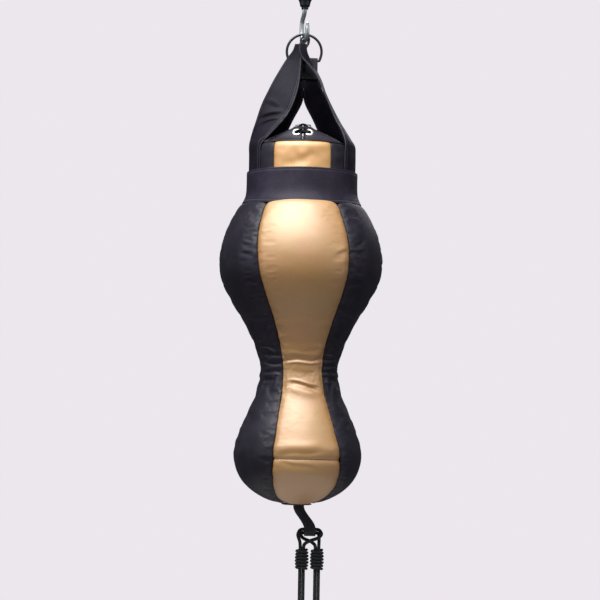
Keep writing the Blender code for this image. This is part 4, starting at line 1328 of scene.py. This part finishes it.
class BAG_OT_mouth(bpy.types.Operator):
    """Laced mouth: two leather halves, eight eyelets and a flat lace with its knot"""
    bl_idname = "bag.mouth"
    bl_label = "Laced mouth"

    def execute(self, context):
        for side, sign in (("left", -1), ("right", 1)):
            item = piece("mouth_half_" + side, sheet(64, 44, self.half(sign)),
                         finish_named("black leather"), "bag", ("lid_" + side,))
            thicken(item, 2.4 * MM)
            self.pierce(item, sign)
            hem = [lid_spot(sign * 2.7 * MM, y * MM) + Vector((0, 0, 0.2 * MM))
                   for y in range(-88, 89, 4)]
            piece("mouth_hem_" + side, bar(hem, 1.4 * MM, 12), finish_named("lining"),
                  "bag", ())
            for number, y in enumerate(EYELET_Y, 1):
                self.eyelet("_" + side + "_" + str(number), sign * EYELET_X, y)
        seam = [around(0.0958, k * 3.0, -0.3652) for k in range(120)]
        # The piping is painted paler than the black leather, a painted highlight.
        piece("mouth_piping", bar(seam, 1.5 * MM, 10, cyclic=True), finish_named("edge leather"),
              "bag", ())
        self.lace()
        return {"FINISHED"}

    def half(self, sign):
        def place_at(u, v):
            radius = LID_RADIUS * (1 - v) + 1.6 * MM * v
            reach = math.degrees(math.asin(min(1.5 * MM / radius, 1.0)))
            share = u if sign > 0 else 1 - u
            flat = around(radius, sign * (reach + (180 - 2 * reach) * share), 0)
            near = min(math.hypot(flat.x - sign * EYELET_X, flat.y - y) for y in EYELET_Y)
            free = 1 - math.exp(-(near / (13 * MM)) ** 2)
            azimuth = math.atan2(flat.x, -flat.y)
            lift = 1.1 * MM * free * ripple(flat.x * 38, flat.y * 38, 0.0, 5.0)
            rim = math.exp(-(LID_RADIUS - radius) / (16 * MM))
            lift += 1.3 * MM * rim * ripple(math.sin(azimuth) * 6, math.cos(azimuth) * 6, 1.0)
            lift -= 1.6 * MM * math.exp(-(LID_RADIUS - radius) / (5 * MM))
            lift -= 1.0 * MM * free * math.exp(-abs(abs(flat.y) - 34 * MM) / (6 * MM)) * (
                math.exp(-abs(flat.x) / (22 * MM)))
            return lid_spot(flat.x, flat.y) + lid_normal(flat.x, flat.y) * lift
        return place_at

    def pierce(self, item, sign):
        """Cuts the four eyelet holes through one half."""
        cutters = []
        for y in EYELET_Y:
            shape = bmesh.new()
            turn = Vector((0, 0, 1)).rotation_difference(lid_normal(sign * EYELET_X, y))
            bmesh.ops.create_cone(
                shape, cap_ends=True, segments=24, radius1=5.0 * MM, radius2=5.0 * MM,
                depth=24 * MM, matrix=(Matrix.Translation(lid_spot(sign * EYELET_X, y))
                                       @ turn.to_matrix().to_4x4()))
            cutters.append(object_of("hole", shape))
            hole = item.modifiers.new("Hole", "BOOLEAN")
            hole.operation = "DIFFERENCE"
            hole.object = cutters[-1]
        bpy.context.view_layer.update()
        graph = bpy.context.evaluated_depsgraph_get()
        final = bpy.data.meshes.new_from_object(item.evaluated_get(graph))
        item.modifiers.clear()
        item.data = final
        for cutter in cutters:
            bpy.data.objects.remove(cutter, do_unlink=True)

    def eyelet(self, label, x, y):
        hole = 4.5
        flange = sizes().eyelet / MM
        profile = [(hole, 0.9), (hole + 0.2, 1.5), (hole + 0.8, 2.0), (hole + 1.6, 2.1),
                   (hole + 2.8, 1.8), (flange - 0.7, 1.2), (flange - 0.1, 0.9), (flange, 0.6),
                   (flange - 0.4, 0.3), (hole + 0.8, 0.5), (hole + 0.8, -4.2), (hole, -4.2)]
        turn = Vector((0, 0, 1)).rotation_difference(lid_normal(x, y)).to_matrix().to_4x4()
        shape = turned([(r * MM, z * MM) for r, z in profile], 40,
                       Matrix.Translation(lid_spot(x, y)) @ turn, closed=True)
        piece("rolled_eyelet" + label, shape, finish_named("nickel"), "bag",
              ("eyelet" + label,))

    def lace(self):
        front = lid_spot(0, EYELET_Y[0])
        line = [front + Vector(spot) * MM for spot in ((3, -3, 6), (-1, -5, 5), (-6, -5.5, 3))]
        order = [(-1, 0, 1), (1, 1, -1), (-1, 1, 1), (1, 2, -1), (-1, 2, 1), (1, 3, -1),
                 (-1, 3, 1)]
        for sign, number, way in order:
            spot = lid_spot(sign * EYELET_X, EYELET_Y[number])
            normal = lid_normal(spot.x, spot.y)
            for lift in (3.6, -1.0, -6.5):
                line.append(spot + normal * (way * (lift + 1.0) - 1.0) * MM)
        shape = bar(spline(line, 260), sizes().lace / 2, 14, flat=0.34)
        piece("flat_lace", shape, finish_named("lace"), "bag", ("lace",))
        y = EYELET_Y[0]
        shape = None
        for sign in (-1, 1):
            left = lid_spot(-EYELET_X, y)
            right = lid_spot(EYELET_X, y)
            crossing = [left + Vector((0.5, 3.0, -3.0 + sign)) * MM,
                        left + Vector((2.5, -2.6, 0.6 + 1.6 * sign)) * MM,
                        front + Vector((0, -5.0 - 0.8 * sign, 0.6)) * MM,
                        right + Vector((-2.5, -2.6, 0.6 - 1.6 * sign)) * MM,
                        right + Vector((-0.5, 3.0, -3.0 - sign)) * MM]
            shape = bar(spline(crossing, 60), 2.9 * MM, 14, flat=0.45,
                        start=Vector((0, -0.3, 1)), shape=shape)
        knot = [front + Vector(spot) * MM for spot in (
            (-3, -4.5, 2), (-7, -3, 6.5), (-7.5, 0, 11), (0, 1, 14), (7.5, 0, 11.5), (7, -3, 7),
            (3, -4.5, 2))]
        bar(spline(knot, 70), 2.6 * MM, 14, flat=0.5, start=Vector((0, 1, 0)), shape=shape)
        bar(spline([front + Vector(spot) * MM for spot in
                    ((-5, -5, 5), (-1, -6.5, 6.5), (4, -5.5, 5.5), (6, -3, 3))], 40),
            2.7 * MM, 14, flat=0.55, start=Vector((0, 0, 1)), shape=shape)
        piece("lace_knot", shape, finish_named("lace"), "bag", ())


class BAG_OT_collar(bpy.types.Operator):
    """Upright collar between the band and the mouth, gold in front and behind"""
    bl_idname = "bag.collar"
    bl_label = "Collar"

    def execute(self, context):
        half = COLLAR_GOLD_HALF
        # Both gold parts of the collar are painted paler than the body's gold, as painted light.
        made = [("collar_gold_front", -half, half, "gold leather, collar", 40),
                ("collar_black_right", half, 180 - half, "black leather", 64),
                ("collar_gold_back", 180 - half, 180 + half, "gold leather, collar", 40),
                ("collar_black_left", 180 + half, 360 - half, "black leather", 64)]
        for node, first, last, finish, columns in made:
            shape = wall(first, last, COLLAR, 40, columns, self.dent)
            item = piece("soft_" + node, shape, finish_named(finish), "bag", (node,))
            thicken(item, sizes().hide)
        return {"FINISHED"}

    def dent(self, azimuth, z):
        """The slanting fold across the gold, and the pull of the seam above."""
        q = z + 0.401 - (azimuth - 3) / 51 * 0.031
        width = 9 * MM if q > 0 else 12 * MM
        deep = 1.1 * MM * math.exp(-(q / width) ** 2) * math.exp(-((azimuth - 5) / 26) ** 4)
        deep -= 0.6 * MM * math.exp(-((q + 0.019) / 0.010) ** 2)
        turn = (azimuth - 180) / 22
        return deep + 1.4 * MM * math.exp(-((z + 0.400 + 0.01 * turn) / 0.008) ** 2) * (
            math.exp(-turn ** 4))


class BAG_OT_band(bpy.types.Operator):
    """Leather band over the strap ends, with a stitch row along each edge"""
    bl_idname = "bag.band"
    bl_label = "Band"

    def execute(self, context):
        inner = [(-0.419, 0.1076), (-0.438, 0.1076), (-0.462, 0.1090), (-0.475, 0.1132),
                 (-0.4825, 0.1178)]
        line = spline([(radius, 0, z) for z, radius in reversed(inner)], 60)

        def place_at(u, v):
            azimuth = 180 - 360 * v
            spot = along(line, u)
            low = (1 - u) ** 2
            dip = 9.0 * MM * low * max(0.0, math.cos(math.radians(azimuth))) ** 2
            radius = spot.x + 2.9 * MM + 0.5 * dip
            for middle in (-69.5, 69.5, 129.0, -129.0):
                away = abs((azimuth - middle + 180) % 360 - 180)
                radius += 1.1 * MM * smooth_step(22, 14, away) * u
            at = around(radius, azimuth, spot.z - dip)
            radius += 0.7 * MM * ripple(at.x * 22, at.y * 22, at.z * 22, 6.0)
            radius -= 0.7 * MM * (math.exp(-u * 16) + math.exp(-(1 - u) * 16))
            return around(radius, azimuth, spot.z - dip)

        shape = sheet(22, 216, place_at, (BAND_WIDTH, 2 * math.pi * BAND_MEAN_RADIUS))
        bmesh.ops.remove_doubles(shape, verts=shape.verts, dist=1e-5)
        # The band is painted paler than the body's black leather, as painted light.
        item = piece("stitched_band", shape, finish_named("band leather"), "bag", ("top_band",))
        thicken(item, 2.6 * MM, -1.0, 0.6 * MM)
        return {"FINISHED"}


class BAG_OT_body(bpy.types.Operator):
    """The eight leather panels of the two round ends and the waist"""
    bl_idname = "bag.body"
    bl_label = "Leather body"

    def execute(self, context):
        top = TOP_SHARE
        seam = outline_share(CROSS_SEAM_Z)
        gap = 0.25 * MM / OUTLINE_LENGTH
        for side, first, last, creases in (("front", 0, 1, GOLD_CREASES),
                                           ("back", 3, 4, BACK_CREASES)):
            cloth = swell(first, last)
            shape = panel(first, last, top, seam - gap, 330, 56, creases, cloth, 1.2, seam)
            self.leather("gold_" + side + "_upper", shape, "gold leather")
            shape = panel(first, last, seam + gap, 1.0, 80, 56, creases, cloth, 1.2, seam)
            self.leather("gold_" + side + "_lower", shape, "gold leather, seam above")
        for node, first, last in (("black_front_right", 1, 2), ("black_back_right", 2, 3),
                                  ("black_back_left", 4, 5), ("black_front_left", 5, 6)):
            shape = panel(first, last, top, 1.0, 380, 50, BLACK_CREASES, swell(first, last), 0.8)
            self.leather(node, shape, "black leather")
        return {"FINISHED"}

    def leather(self, node, shape, finish):
        item = piece("padded_" + node, shape, finish_named(finish), "bag", (node,))
        thicken(item, sizes().hide)


class BAG_OT_filling(bpy.types.Operator):
    """Packed filling behind the leather and under the laced mouth"""
    bl_idname = "bag.filling"
    bl_label = "Filling"

    def execute(self, context):
        profile = [(0.0, -0.3760), (0.070, -0.3765), (0.090, -0.3800), (0.0950, -0.3950),
                   (0.0950, -0.4300)]
        for k in range(4, 101, 2):
            radius, z, out = outline_at(k / 100)
            profile.append((radius - 8 * MM * out.x, z - 8 * MM * out.y))
        profile[-1] = (0.0, profile[-1][1])
        shape = turned(profile, 64)
        for vert in shape.verts:
            vert.co += vert.normal * 0.8 * MM * ripple(*(vert.co * 30), 8.0)
        piece("packed_filling", shape, finish_named("lining"), "bag",
              ("foam_liner", "rag_fill"))
        return {"FINISHED"}


class BAG_OT_tail(bpy.types.Operator):
    """Round patch under the body and the folded webbing that holds the cords"""
    bl_idname = "bag.tail"
    bl_label = "Lower webbing"

    def execute(self, context):
        profile = [(0.0, -1.0770), (0.0280, -1.0758), (0.0296, -1.0762), (0.0300, -1.0772),
                   (0.0292, -1.0781), (0.0262, -1.0787), (0.0250, -1.0792), (0.0238, -1.0790),
                   (0.0120, -1.0798), (0.0, -1.0800)]
        piece("round_patch", turned(profile, 72), finish_named("black leather"), "bag",
              ("base_patch",))
        bend = 8.7 * MM
        side = [(-1.5, -1.0793), (-1.5, -1.092), (-1.5, -1.103), (-2.6, -1.111),
                (-4.9, -1.1185)]
        stations = [(0, depth * MM, z) for depth, z in side]
        for degree in range(145, 396, 25):
            angle = math.radians(degree)
            stations.append((0, bend * math.cos(angle), EYE_Z + bend * math.sin(angle)))
        stations += [(0, -depth * MM, z) for depth, z in reversed(side)]
        line = spline(stations, 141)

        def place_at(u, v):
            spot = along(line, v)
            ease = smooth_step(-1.0812, -1.1262, spot.z)
            centre = TAIL_X * (0.16 + 0.84 * ease)
            half = (11.0 + 0.4 * ease) * MM
            turn = math.radians(28 * (1 - ease))
            k = 2 * u - 1
            depth = spot.y + 0.4 * MM * ripple(u * 3, v * 9, 0.0, 1.0)
            return Vector((centre + k * half * math.cos(turn) - depth * math.sin(turn),
                           k * half * math.sin(turn) + depth * math.cos(turn), spot.z))

        item = piece("folded_webbing", sheet(14, 140, place_at, (TAIL_WEBBING, 0.15)),
                     finish_named("tail webbing"), "bag", ("tail_webbing",))
        thicken(item, 2.3 * MM, 0.0, 0.45 * MM)
        cut_from(line)
        return {"FINISHED"}


BUTTONS = (BAG_OT_stage, BAG_OT_cords, BAG_OT_swivel, BAG_OT_hook, BAG_OT_ring, BAG_OT_loops,
           BAG_OT_straps, BAG_OT_mouth, BAG_OT_collar, BAG_OT_band, BAG_OT_body,
           BAG_OT_filling, BAG_OT_tail)


class BAG_PT_sidebar(bpy.types.Panel):
    bl_idname = "BAG_PT_sidebar"
    bl_label = "Punch bag"
    bl_space_type = "VIEW_3D"
    bl_region_type = "UI"
    bl_category = "Punch bag"

    def draw(self, context):
        for group in ("bag_sizes", "bag_colours", "bag_stage"):
            box = self.layout.box()
            values = getattr(context.scene, group)
            for name in values.__annotations__:
                box.prop(values, name)
        for button in BUTTONS:
            self.layout.operator(button.bl_idname)


CLASSES = (BagSizes, BagColours, BagStage, *BUTTONS, BAG_PT_sidebar)


def register():
    for kind in CLASSES:
        bpy.utils.register_class(kind)
    bpy.types.Scene.bag_sizes = bpy.props.PointerProperty(type=BagSizes)
    bpy.types.Scene.bag_colours = bpy.props.PointerProperty(type=BagColours)
    bpy.types.Scene.bag_stage = bpy.props.PointerProperty(type=BagStage)


def unregister():
    del bpy.types.Scene.bag_stage
    del bpy.types.Scene.bag_colours
    del bpy.types.Scene.bag_sizes
    for kind in reversed(CLASSES):
        bpy.utils.unregister_class(kind)


def main():
    register()
    for button in BUTTONS:
        group, name = button.bl_idname.split(".")
        getattr(getattr(bpy.ops, group), name)()


if __name__ == "__main__":
    main()
